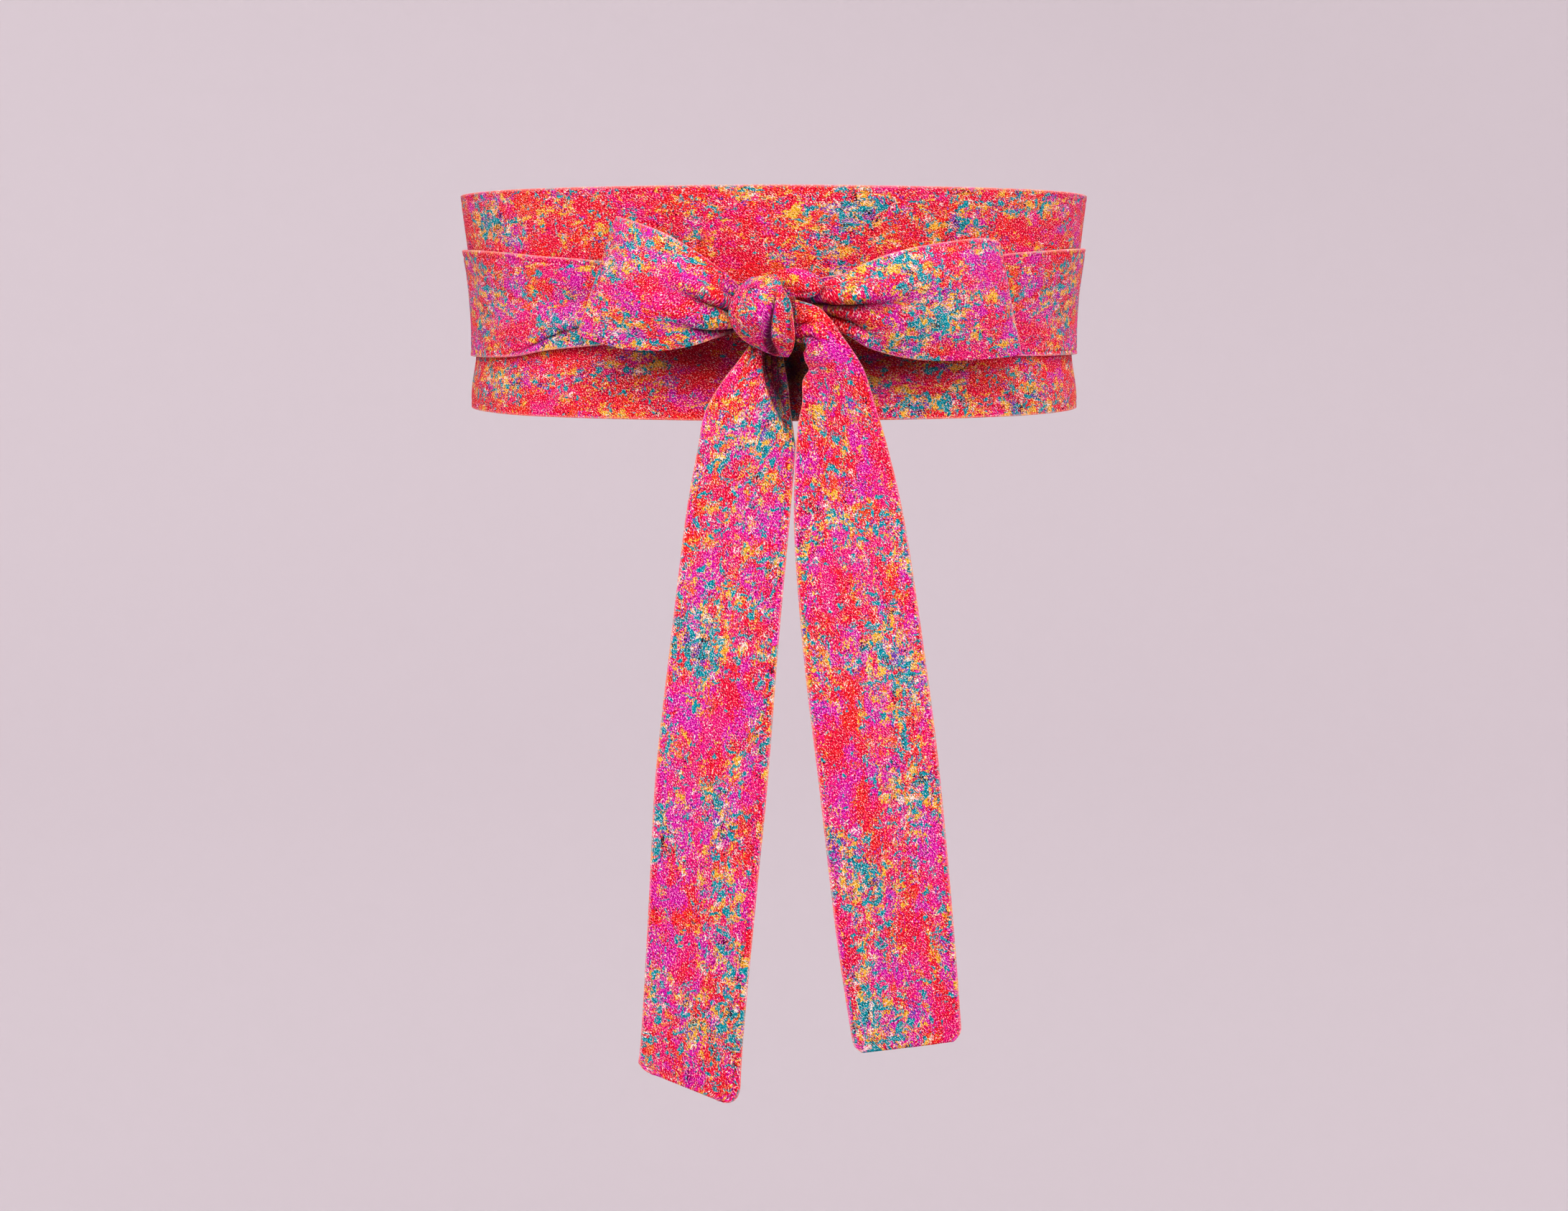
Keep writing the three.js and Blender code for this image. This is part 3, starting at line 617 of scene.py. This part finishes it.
# Stations that are further apart than a limit are made twice as close where the left tie's lower
# edge rolls under. Both are in mm.
ROLL = {"from": 29.0, "wider_than": 1.0}
between = (tie_across[1:] + tie_across[:-1]) / 2
rolling = (np.diff(tie_across) > ROLL["wider_than"]) & (between > ROLL["from"])
wrap_across = {"left": np.union1d(tie_across, between[rolling]), "right": tie_across}


def finish_cloth(piece, material, node):
    """Gives a finished piece its cloth and its place on the belt, and hides the solid it stands for."""
    piece.data.materials.append(material)
    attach(piece, "root")
    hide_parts(node)


for name, side, rise, rows, folds, dimples, seed in (
    ("left", -1, 1, WRAP_LEFT, LEFT_FOLDS, LEFT_DIMPLES, 11.0),
    ("right", 1, -1, WRAP_RIGHT, RIGHT_FOLDS, RIGHT_DIMPLES, 17.0),
):
    start = rows[0, 0]
    wrap_along = np.linspace(start, TIE_ROOT, WRAP_GRID["along"])
    s, across = np.meshgrid(wrap_along, wrap_across[name], indexing="ij")
    share = across / TIE["width"]
    points, wide = tie_round_waist(rows, side, rise, s, share)
    behind = [
        (lip, [(HALF_GIRTH + row[0], *row[1:]) for row in fold]) for lip, fold in BACK_FOLDS[name]
    ]
    push, slide, painted_shade = furrows(folds + behind, s, lambda place: (share - place) * wide)
    more = furrows(dimples, share, lambda place: s - place)[0]
    push += more + pressed(across, TIE_LINES[name]) + ripple(points, *WRAP_GRID["ripples"], seed)
    points = relief(points, push, slide)
    wrap = cloth(
        "tie_" + name + "_wrap_cloth", points, s, share, wide, TIE["width"], TIE["thickness"],
        painted_shade,
    )
    finish_cloth(wrap, tie_cotton, "tie_" + name + "_wrap")


# ---------------------------------------------------------------- inside the knot
# Under the strand wound round the bow the ties are squeezed into one tight bundle of layers. Only
# slivers of it show, in the shade beside and below the knot.

# Its middle and its half size in mm, the grooves between its layers, its unevenness, its mesh, and
# which part of the printed cloth it is cut from, in metres, and how much painted shade it gets, as
# it lies deep in the shade of the knot.
CORE = {
    "at": (-2.0, -109.0, -5.6), "half": (9.2, 16.6, 9.2),
    "layers": 5, "groove": 0.09, "twist": 0.4, "waver": 0.04, "waver_size": 2.3,
    "segments": 64, "rings": 40, "cut_at": (0.9, 0.008), "cut_size": (0.06, 0.03), "shade": 0.6,
}
bpy.ops.mesh.primitive_uv_sphere_add(
    segments=CORE["segments"], ring_count=CORE["rings"], radius=1,
)
core = bpy.context.object
core.name = "knot_core_cloth"
core.data.name = core.name
for vertex in core.data.vertices:
    x, y, z = vertex.co
    turn = math.atan2(x, z)
    ridge = abs(math.sin(CORE["layers"] * (turn + CORE["twist"] * y)))
    bulge = 1 - CORE["groove"] * (1 - ridge) ** 2
    waver = 1 + CORE["waver"] * noise.noise(vertex.co * CORE["waver_size"])
    vertex.co = [
        (centre + half * part * bulge * waver) * MM
        for centre, half, part in zip(CORE["at"], CORE["half"], (x, y, z))
    ]
core.data.uv_layers[0].name = "cloth"
core.data.uv_layers.new(name="strip")
core.data.uv_layers.new(name="crease")
core_maps = [core.data.uv_layers[map_name].uv for map_name in ("cloth", "strip", "crease")]
# Every point of the core gets the same painted shade.
for place, strip, crease in zip(*core_maps):
    place.vector = [
        start + size * part
        for start, size, part in zip(CORE["cut_at"], CORE["cut_size"], place.vector)
    ]
    strip.vector = place.vector
    crease.vector = (CORE["shade"], 0)
bpy.ops.object.shade_smooth()
bpy.ops.object.select_all(action="DESELECT")
finish_cloth(core, tie_cotton, "knot_core")


# ---------------------------------------------------------------- the two loops of the bow
# Each loop is a stretch of tie that leaves the knot squeezed into pleats, opens out flat, turns
# round a soft fold and comes back behind itself to the knot. Tension from the knot draws creases
# into its front, deepest beside the knot.

# Rows are: x, y, z of the upper edge, x, y, z of the lower edge, how far the middle puffs out.
LOOP_LEFT = np.array([
    [-12.8, -111.0, 6, -12.8, -111.0, -10, 0.4],
    [-18.0, -112.7, 11, -18.0, -112.4, -12, 1.0],
    [-23.5, -115.6, 15.4, -23.5, -114.6, -14, 2.6],
    [-33, -116, 22, -33, -114, -16.6, 4.6],
    [-43, -113, 27.6, -45.6, -111, -18.4, 6.0],
    [-53.4, -109, 31.6, -60, -106, -17.6, 5.6],
    [-59, -105, 33.4, -71, -102, -14.8, 3.0],
    [-61.2, -100.6, 34.2, -77, -98.4, -12.4, 0.4],
    [-59, -96.4, 33, -73, -93.6, -13.6, -1.6],
    [-50.4, -94.4, 29, -59.4, -92.4, -15.6, -1.2],
    [-36, -97, 21.6, -42, -96, -16.2, -0.4],
    [-22, -101.6, 12, -26, -101.6, -12.6, 0],
    [-12.8, -104.6, 4, -12.8, -104.6, -8, 0],
])
LOOP_RIGHT = np.array([
    [9.0, -108.8, 6, 9.0, -108.8, -7, 0.4],
    [17.6, -112.2, 7.4, 19.6, -111.0, -6.4, 0.8],
    [25, -114.6, 10.2, 27.6, -111.8, -10.8, 3.4],
    [38.8, -113.6, 16.6, 39.1, -108.8, -17.6, 6.2],
    [52.2, -108, 21.1, 53.4, -104, -21.4, 7.0],
    [70.2, -98, 24.4, 70.7, -95, -22.7, 6.4],
    [84.6, -88, 26.0, 90.4, -84, -21.8, 4.0],
    [90.3, -81.4, 24.1, 99.6, -77.4, -20.8, 0.6],
    [87, -78, 23.4, 93, -74, -20.3, -1.6],
    [73, -82.6, 21.8, 76.2, -79.6, -20.7, -1.4],
    [55, -92.6, 17.7, 58.3, -90.6, -19.2, -0.6],
    [35, -99.4, 10.5, 37.9, -98.8, -13.5, 0],
    [9.0, -103.2, 5, 9.0, -103.2, -6, 0],
])
# Rows are: mm along from the knot, share across, depth, half width. Lips below 0 roll down.
LOOP_LEFT_FOLDS = [
    (-1.7, [(0, 0.62, 2.8, 1.1), (3.4, 0.59, 4.8, 1.2), (9.8, 0.53, 5.4, 1.4), (15.4, 0.51, 4.2, 1.9),
            (22.6, 0.48, 2.6, 2.7), (33.3, 0.46, 1.1, 4.0), (48, 0.45, 0, 5)]),
    (-1.0, [(0, 0.90, 1.8, 0.9), (6.7, 0.88, 3.6, 1.0), (17.2, 0.845, 3.2, 1.3), (22.9, 0.81, 1.8, 1.9),
            (32.6, 0.78, 0.6, 3.0), (43, 0.76, 0, 3.6)]),
    (-0.3, [(0, 0.985, 0.9, 0.7), (5, 0.97, 1.5, 0.8), (13.2, 0.95, 1.1, 1.0), (22, 0.93, 0, 1.4)]),
    (0, [(0, 0.3, 1.2, 1.0), (8, 0.3, 0.9, 1.6), (22, 0.28, 0, 2.6)]),
    (0, [(0, 0.12, 0.7, 0.8), (7, 0.13, 0.5, 1.2), (16, 0.13, 0, 1.6)]),
    (0, [(2, 0.75, -0.6, 1.2), (17, 0.68, -1.3, 2.8), (30, 0.62, -0.7, 4), (46, 0.6, 0, 5)]),
    (0, [(14, 0.18, 0, 3), (34, 0.2, 0.6, 5), (56, 0.24, 0, 6)]),
    (0, [(24, 0.9, 0, 2), (40, 0.88, 0.6, 3), (58, 0.86, 0, 4)]),
    (0, [(88, 0.5, 0, 3), (110, 0.5, 1.2, 2.4), (131, 0.5, 1.4, 1.6)]),
]
LOOP_RIGHT_FOLDS = [
    (-1.6, [(2, 0.47, 2.6, 1.1), (6.2, 0.47, 4.6, 1.3), (13.5, 0.50, 6.2, 1.5), (20.5, 0.49, 6.2, 1.9),
            (33, 0.485, 4.6, 3.0), (44, 0.50, 3.2, 4.4), (58, 0.53, 1.6, 5.6), (78, 0.56, 0, 6)]),
    (0.5, [(8, 0.87, 0, 1.0), (12, 0.85, 2.2, 1.1), (16.5, 0.83, 3.6, 1.4), (22, 0.81, 3.8, 1.5),
           (27, 0.83, 2.0, 1.7), (35, 0.86, 0, 2.4)]),
    (0, [(8, 0.62, -0.8, 1.2), (15, 0.63, -1.6, 1.8), (24, 0.61, -1.9, 2.4), (38, 0.63, -1.0, 4),
         (54, 0.68, 0, 5)]),
    (0, [(0, 0.2, 0.8, 0.8), (9, 0.2, 1.0, 1.2), (24, 0.17, 0, 2.2)]),
    (0, [(26, 0.3, 0, 3), (44, 0.28, 0.7, 4.4), (70, 0.26, 0, 6)]),
    (0, [(44, 0.84, 0, 4), (66, 0.86, 0.6, 5), (88, 0.84, 0, 6)]),
    (0, [(140, 0.5, 0, 3), (170, 0.5, 1.2, 2.4), (196, 0.5, 1.2, 1.6)]),
]
# Rows are: share across, mm along, depth, half width.
LOOP_LEFT_DIMPLES = [
    (0, [(0.3, 50, 0, 4), (0.55, 54, 0.6, 5), (0.85, 56, 0, 4)]),
]
LOOP_RIGHT_DIMPLES = [
    (0, [(0.54, 98.4, 0, 1.4), (0.62, 98.8, 1.1, 1.6), (0.7, 99.2, 1.2, 1.6), (0.8, 99.6, 0, 1.6)]),
    (0, [(0.1, 82, 0, 4), (0.34, 84, 0.6, 5), (0.6, 86, 0, 5)]),
]
LOOP_LINES = {"inset": 2.0, "upper": 0.32, "lower": 0.1, "half": 0.42}


def stretch(rows, count, across):
    """Middle points of a stretch of tie from a table of its two edges, with each point's place
    along the cloth and the strip's width there, in mm."""
    position, share = np.meshgrid(
        np.linspace(0, len(rows) - 1, count), across / TIE["width"], indexing="ij",
    )
    values = through(rows, position)
    points = mix(values[..., 0:3], values[..., 3:6], share[..., None])
    points[..., 1] -= values[..., 6] * (1 - (2 * share - 1) ** 2)
    middle = points[:, points.shape[1] // 2]
    steps = np.linalg.norm(np.diff(middle, axis=0), axis=1)
    along = np.concatenate([[0], np.cumsum(steps)])[:, None] + np.zeros_like(share)
    wide = np.linalg.norm(values[..., 3:6] - values[..., 0:3], axis=-1)
    return points, along, share, wide


# Stations along a loop, the row of its grid where it turns back on itself, the step across, and its
# ripples' size and height. The rows after it end with the place on the printed cloth where the loop
# is cut from, in mm, and a seed.
LOOP_GRID = {"along": 121, "fold_row": 70, "across": 0.95, "ripples": (12, 0.3)}
loop_across = across_stations(TIE["width"], [LOOP_LINES["inset"]], LOOP_GRID["across"])
for name, rows, folds, dimples, start, seed in (
    ("left", LOOP_LEFT, LOOP_LEFT_FOLDS, LOOP_LEFT_DIMPLES, 425, 23.0),
    ("right", LOOP_RIGHT, LOOP_RIGHT_FOLDS, LOOP_RIGHT_DIMPLES, 1560, 29.0),
):
    points, along, share, wide = stretch(rows, LOOP_GRID["along"], loop_across)
    push, slide, painted_shade = furrows(folds, along, lambda place: (share - place) * wide)
    more = furrows(dimples, share, lambda place: along - place)[0]
    across = share * TIE["width"]
    push += more + pressed(across, LOOP_LINES) + ripple(points, *LOOP_GRID["ripples"], seed)
    points = relief(points, push, slide)
    from_fold = np.abs(along - along[LOOP_GRID["fold_row"]])
    loop = cloth(
        "loop_" + name + "_cloth", points, along + start, share, wide, TIE["width"],
        TIE["thickness"], painted_shade, from_fold,
    )
    finish_cloth(loop, tie_cotton, "loop_" + name)


# ---------------------------------------------------------------- the two hanging ends
# The tie's ends come out from under the knot and hang down in front, open to their full width a
# few centimetres below it. The left one is doubled over at its root, the right one fans out over
# the knot's edge. Each is closed by a pressed seam, the left one cut on a slant.

# Rows are as for the loops.
TAIL_LEFT = np.array([
    [-8.8, -107.6, -15.6, 5.6, -103.8, -17.6, 0.6],
    [-13.2, -111.4, -21.8, 7.4, -104, -25.4, 1.8],
    [-20.6, -111.6, -31.6, 8.8, -105, -34.7, 3.4],
    [-27, -111, -43, 9.1, -106, -47.4, 3.6],
    [-30, -110.4, -59, 8.3, -107, -63, 3.0],
    [-34.6, -110.4, -84, 6.3, -108.2, -87.7, 2.0],
    [-41, -112, -135.4, 1.7, -110.4, -139.7, 1.2],
    [-46.9, -113.6, -187, -2.3, -112, -191.9, 0.8],
    [-49.9, -113.8, -239.3, -7.5, -112.2, -244.4, 0.8],
    [-53.2, -112.4, -292.6, -12.5, -110.6, -300, 0.6],
    [-54.9, -111.6, -306.6, -13.4, -109.4, -324.4, 0.2],
])
TAIL_RIGHT = np.array([
    [8.6, -113.6, -13.8, 8.6, -114.4, 1.6, 0.4],
    [12.0, -116.4, -17.8, 18.6, -118.6, -2.2, 2.6],
    [12.9, -115.8, -22, 26.7, -118.6, -12.7, 4.0],
    [14.4, -113.8, -25.8, 34.4, -116, -24.2, 4.4],
    [11.9, -112, -30.4, 38.1, -114, -33.4, 4.0],
    [11.7, -110.4, -38.8, 41, -112.4, -42.9, 3.4],
    [9.4, -109.2, -52.9, 45.1, -111.2, -56.5, 2.6],
    [8.3, -109, -88.5, 51.7, -111, -84.1, 1.6],
    [12, -111, -139, 59.5, -113, -133.8, 1.0],
    [18, -113, -189.4, 66, -115, -183.3, 0.8],
    [25.3, -113.2, -252.6, 72, -115, -245.5, 0.8],
    [32.6, -112, -301, 76, -113.8, -295, 0.4],
])
# How far along the doubled root goes, where its front edge runs, how far the back is set in and how
# soft that step is, how much painted shade lies on the part set back behind it, and from what share
# of its reach it fades.
FLAP = {
    "reach": 44.0, "at_root": 0.30, "at_end": 1.08, "set_back": 5.0, "softness": 0.03,
    "shade": 0.72, "fade_from": 0.5,
}
# The radius, in mm, of the free end's upper and lower corner.
CORNERS = {"left": (5.0, 8.0), "right": (3.5, 3.5)}
TAIL_LEFT_FOLDS = [
    (0, [(0, 0.50, 1.2, 0.8), (8, 0.60, 1.4, 0.9), (18, 0.78, 0.8, 1.2), (26, 0.84, 0, 1.4)]),
    (0, [(0, 0.68, 1.4, 0.7), (8, 0.74, 1.5, 0.9), (20, 0.86, 0.8, 1.2), (30, 0.9, 0, 1.4)]),
    (0, [(0, 0.84, 1.2, 0.7), (10, 0.87, 1.2, 0.9), (26, 0.93, 0, 1.3)]),
    (0, [(0, 0.16, 0.9, 0.8), (8, 0.2, 0.8, 1.4), (24, 0.28, 0, 2.6)]),
    (0, [(20, 0.4, 0, 3), (46, 0.42, 0.9, 5), (96, 0.42, 0.3, 6), (140, 0.42, 0, 6)]),
    (0, [(60, 0.72, 0, 4), (120, 0.7, -0.5, 6), (210, 0.7, 0, 6)]),
    (0, [(150, 0.3, 0, 5), (220, 0.33, 0.5, 7), (290, 0.36, 0, 7)]),
]
TAIL_RIGHT_FOLDS = [
    (0.3, [(0, 0.34, 1.0, 0.7), (3, 0.45, 1.9, 0.8), (6.3, 0.57, 1.4, 0.9), (11, 0.66, 0, 1.2)]),
    (0.8, [(0, 0.05, 1.6, 0.8), (2, 0.10, 2.8, 0.8), (7, 0.27, 3.2, 0.9), (13.2, 0.46, 2.2, 1.0),
           (18, 0.55, 0, 1.4)]),
    (0, [(3, 0.0, 0, 1.2), (6, 0.02, 3.5, 1.3), (9, 0.03, 3.5, 1.4), (13, 0.03, 0, 1.3)]),
    (0, [(12, 0.76, 0, 2), (26, 0.74, 0.7, 3.2), (60, 0.7, 0, 5)]),
    (0, [(24, 0.3, 0, 3), (46, 0.34, 0.9, 4), (90, 0.38, 0, 6)]),
    (0, [(90, 0.62, 0, 4), (160, 0.6, -0.5, 7), (240, 0.6, 0, 7)]),
    (0, [(200, 0.25, 0, 5), (250, 0.28, 0.5, 7), (300, 0.3, 0, 7)]),
]
TAIL_LEFT_DIMPLES = [
    (0, [(-0.1, 96, 0.5, 9), (0.4, 100, 0.6, 10), (1.1, 108, 0, 10)]),
    (0, [(-0.1, 172, 0, 10), (0.6, 168, 0.6, 11), (1.1, 164, 0.6, 10)]),
    (0, [(-0.1, 240, 0.5, 12), (0.5, 246, 0.5, 12), (1.1, 250, 0, 12)]),
]
TAIL_RIGHT_DIMPLES = [
    (0, [(-0.1, 74, 0, 8), (0.5, 80, 0.6, 9), (1.1, 84, 0.5, 9)]),
    (0, [(-0.1, 140, 0.5, 10), (0.5, 146, 0.5, 11), (1.1, 150, 0, 10)]),
    (0, [(-0.1, 214, 0, 11), (0.5, 210, 0.6, 11), (1.1, 206, 0.5, 11)]),
]
TAIL_LINES = {
    "left": {"inset": 3.0, "upper": 0.2, "lower": 0.9, "half": 0.5},
    "right": {"inset": 2.0, "upper": 0.35, "lower": 0.6, "half": 0.42},
}
# The seam that closes an end shows as a pressed line across it.
END_LINE = {"inset": 3.0, "depth": 0.5, "half": 0.55}
# As for the loops.
TAIL_GRID = {"along": 165, "across": 1.3, "ripples": (21, 0.4)}
for name, rows, folds, dimples, start, seed in (
    ("left", TAIL_LEFT, TAIL_LEFT_FOLDS, TAIL_LEFT_DIMPLES, 950, 31.0),
    ("right", TAIL_RIGHT, TAIL_RIGHT_FOLDS, TAIL_RIGHT_DIMPLES, 2000, 37.0),
):
    lines = TAIL_LINES[name]
    tail_across = across_stations(TIE["width"], [lines["inset"]], TAIL_GRID["across"])
    points, along, share, wide = stretch(rows, TAIL_GRID["along"], tail_across)
    push, slide, painted_shade = furrows(folds, along, lambda place: (share - place) * wide)
    more = furrows(dimples, share, lambda place: along - place)[0]
    across = share * TIE["width"]
    from_end = along.max() - along
    closing = END_LINE["depth"] * np.exp(-((from_end - END_LINE["inset"]) / END_LINE["half"]) ** 2)
    push += more + closing + pressed(across, lines) + ripple(points, *TAIL_GRID["ripples"], seed)
    if name == "left":
        t = np.clip(along / FLAP["reach"], 0, 1)
        edge = mix(FLAP["at_root"], FLAP["at_end"], t)
        behind = smooth(edge - FLAP["softness"], edge + FLAP["softness"], share)
        hidden = behind * (1 - smooth(FLAP["fade_from"], 1, t))
        push += FLAP["set_back"] * hidden
        # The part set back behind the flap gets painted shade.
        painted_shade = np.clip(painted_shade + FLAP["shade"] * hidden, 0, 1)
    points = relief(points, push, slide)
    # The corners of the free end are rounded by drawing both edges in over the last stretch.
    for radius, edge in zip(CORNERS[name], (0, 1)):
        short = np.clip(radius - from_end, 0, radius)
        inset = (radius - np.sqrt(radius ** 2 - short ** 2))[..., None]
        inward = points[:, -1:] - points[:, :1]
        inward = inward / np.linalg.norm(inward, axis=2, keepdims=True) * (1 - 2 * edge)
        near = (1 - share if edge == 0 else share)[..., None]
        points = points + inward * inset * near
    tail = cloth(
        "tail_" + name + "_cloth", points, along + start, share, wide, TIE["width"],
        TIE["thickness"], painted_shade,
    )
    finish_cloth(tail, tie_cotton, "tail_" + name)


# ---------------------------------------------------------------- the strands over the knot
# One stretch of tie is wound over the middle of the bow, folded in two so that a broad lobe rolls
# over a narrow one, and another arches over the knot's top right and dives into the right loop.

# Rows are as for the loops.
KNOT_WRAP = np.array([
    [-5.6, -109.8, 7.4, -1.6, -112.4, 8.6, 0.8],
    [-8.0, -113.4, 9.6, 1.2, -117.4, 10.4, 2.6],
    [-12.6, -115.6, 5.8, 3.5, -121.0, 5.4, 7.4],
    [-16.2, -116.4, -0.7, 6.0, -122.2, 0.8, 10.4],
    [-16.5, -115.8, -6.6, 7.4, -122.0, -4.9, 10.8],
    [-12.6, -113.6, -12.5, 7.9, -120.6, -11, 9.6],
    [-5.3, -112.8, -17.0, 7.6, -118.4, -16.4, 6.0],
    [1.8, -111.4, -19.8, 5.6, -114.4, -20.4, 1.6],
])
KNOT_TOP = np.array([
    [0.6, -113.0, 11.4, 2.2, -114.4, 4.4, 0.4],
    [4.0, -114.2, 12.8, 4.8, -115.2, 3.4, 1.6],
    [9.3, -115.4, 13.2, 10, -116.0, 3.0, 3.0],
    [14.9, -116.6, 11.5, 15, -117.4, 3.0, 2.2],
    [19.4, -117.0, 8.7, 18.3, -117.4, 5.4, 0.4],
])
KNOT_WRAP_FOLDS = [
    (-0.7, [(14, 0.83, 0, 0.7), (20, 0.72, 1.1, 0.75), (26, 0.63, 2.3, 0.8), (31, 0.555, 3.3, 0.85),
            (36.4, 0.48, 3.6, 0.9), (43, 0.40, 2.6, 0.9), (50, 0.34, 0, 0.9)]),
    (0, [(14, 0.95, 0, 0.5), (20, 0.92, 0.7, 0.5), (34, 0.9, 0.7, 0.5), (46, 0.84, 0, 0.5)]),
    (0, [(8, 0.4, 0, 1.4), (18, 0.36, 0.6, 2.0), (30, 0.32, 0, 2.4)]),
    (0, [(30, 0.8, 0, 0.8), (38, 0.76, 0.7, 0.9), (47, 0.66, 0, 0.9)]),
]
KNOT_TOP_FOLDS = [
    (0, [(1, 0.62, 0, 0.8), (6, 0.66, 0.8, 0.9), (12, 0.6, 0, 1.0)]),
    (0, [(7, 0.86, 0, 0.6), (11, 0.84, 0.7, 0.6), (16, 0.8, 0, 0.7)]),
]
# Where across a strand its finer stations lie, in mm, and its ripples' size and height. The rows
# after it end with the step between stations, their number along, the place on the printed cloth
# where the strand is cut from, and a seed.
STRAND_GRID = {"fine_at": 1.6, "ripples": (7, 0.3)}
for node, rows, folds, spacing, count, start, seed in (
    ("knot_wrap", KNOT_WRAP, KNOT_WRAP_FOLDS, 0.8, 71, 2660, 41.0),
    ("knot_top", KNOT_TOP, KNOT_TOP_FOLDS, 1.6, 41, 3300, 43.0),
):
    strand_across = across_stations(TIE["width"], [STRAND_GRID["fine_at"]], spacing)
    points, along, share, wide = stretch(rows, count, strand_across)
    push, slide, painted_shade = furrows(folds, along, lambda place: (share - place) * wide)
    push += ripple(points, *STRAND_GRID["ripples"], seed)
    points = relief(points, push, slide)
    strand = cloth(
        node + "_cloth", points, along + start, share, wide, TIE["width"], TIE["thickness"],
        painted_shade,
    )
    finish_cloth(strand, tie_cotton, node)


# ---------------------------------------------------------------- stage, light and camera
# A round pale room open to a bright sky: one sweep of paper for floor and wall, broad soft lights
# above and at the front, weak ones at the sides and behind, and a camera in front at the height of
# the waist, looking a little down.

# The room's sizes in metres.
ROOM = {"radius": 2.6, "floor": -1.2, "top": 2.4, "sweep": 0.6, "sweep_steps": 12, "sides": 96}
profile = [(0, ROOM["floor"])]
for sweep_step in range(ROOM["sweep_steps"] + 1):
    turn = math.pi / 2 * sweep_step / ROOM["sweep_steps"]
    profile.append((
        ROOM["radius"] - ROOM["sweep"] * (1 - math.sin(turn)),
        ROOM["floor"] + ROOM["sweep"] * (1 - math.cos(turn)),
    ))
profile.append((ROOM["radius"], ROOM["top"]))
bpy.ops.mesh.primitive_grid_add(
    x_subdivisions=ROOM["sides"], y_subdivisions=len(profile) - 1, size=2,
)
sweep = bpy.context.object
sweep.name = "paper_sweep"
for vertex in sweep.data.vertices:
    radius, level = profile[round((vertex.co.y + 1) / 2 * (len(profile) - 1))]
    turn = math.pi * vertex.co.x
    vertex.co = (radius * math.sin(turn), radius * math.cos(turn), level)
bpy.ops.object.shade_smooth()
# Uncoated paper: pale, and rough enough to show no highlight.
PAPER = {"colour": "EAE4E7", "rough": 0.95}
paper = bpy.data.materials.new("matt_paper")
paper.use_nodes = True
paper_shader = paper.node_tree.nodes["Principled BSDF"]
paper_shader.inputs["Base Color"].default_value = linear(PAPER["colour"])
paper_shader.inputs["Roughness"].default_value = PAPER["rough"]
sweep.data.materials.append(paper)

# Rows are: name, place, what it points at, width and height in metres, watts.
LIGHTS = [
    ("key", (-0.15, -1.25, 1.02), (0, -0.1, -0.04), (1.5, 0.5), 12),
    ("front", (0.1, -1.75, 0.52), (0, -0.1, -0.04), (1.6, 0.6), 6),
    ("left", (-1.5, -0.8, 0.5), (0, 0, 0), (0.8, 0.8), 3),
    ("right", (1.5, -0.8, 0.5), (0, 0, 0), (0.8, 0.8), 3),
    ("back", (0.9, 0.8, 1.2), (0, 0, 0), (0.8, 0.8), 8),
]
for light_name, place, target, sides, watts in LIGHTS:
    bpy.ops.object.light_add(type="AREA", location=place)
    light = bpy.context.object
    light.name = light_name
    light.data.shape = "RECTANGLE"
    light.data.size, light.data.size_y = sides
    light.data.energy = watts
    light.rotation_euler = (Vector(target) - Vector(place)).to_track_quat("-Z", "Y").to_euler()
SKY = {"colour": "F6F2F4", "strength": 0.52}
world = bpy.data.worlds.new("pale_room")
world.use_nodes = True
sky = world.node_tree.nodes["Background"]
sky.inputs["Color"].default_value = linear(SKY["colour"])
sky.inputs["Strength"].default_value = SKY["strength"]
bpy.context.scene.world = world
bpy.context.scene.view_settings.view_transform = "Standard"
bpy.context.scene.view_settings.look = "High Contrast"

# The camera's place in metres, how far it looks down in degrees, and its lens and film in mm.
CAMERA = {"at": (0.0043, -1.26, 0.002), "down": 6.02, "lens": 66.87, "film": 36}
bpy.ops.object.camera_add(location=CAMERA["at"])
camera = bpy.context.object
camera.rotation_euler = (math.radians(90 - CAMERA["down"]), 0, 0)
camera.data.lens = CAMERA["lens"]
camera.data.sensor_width = CAMERA["film"]
bpy.context.scene.camera = camera
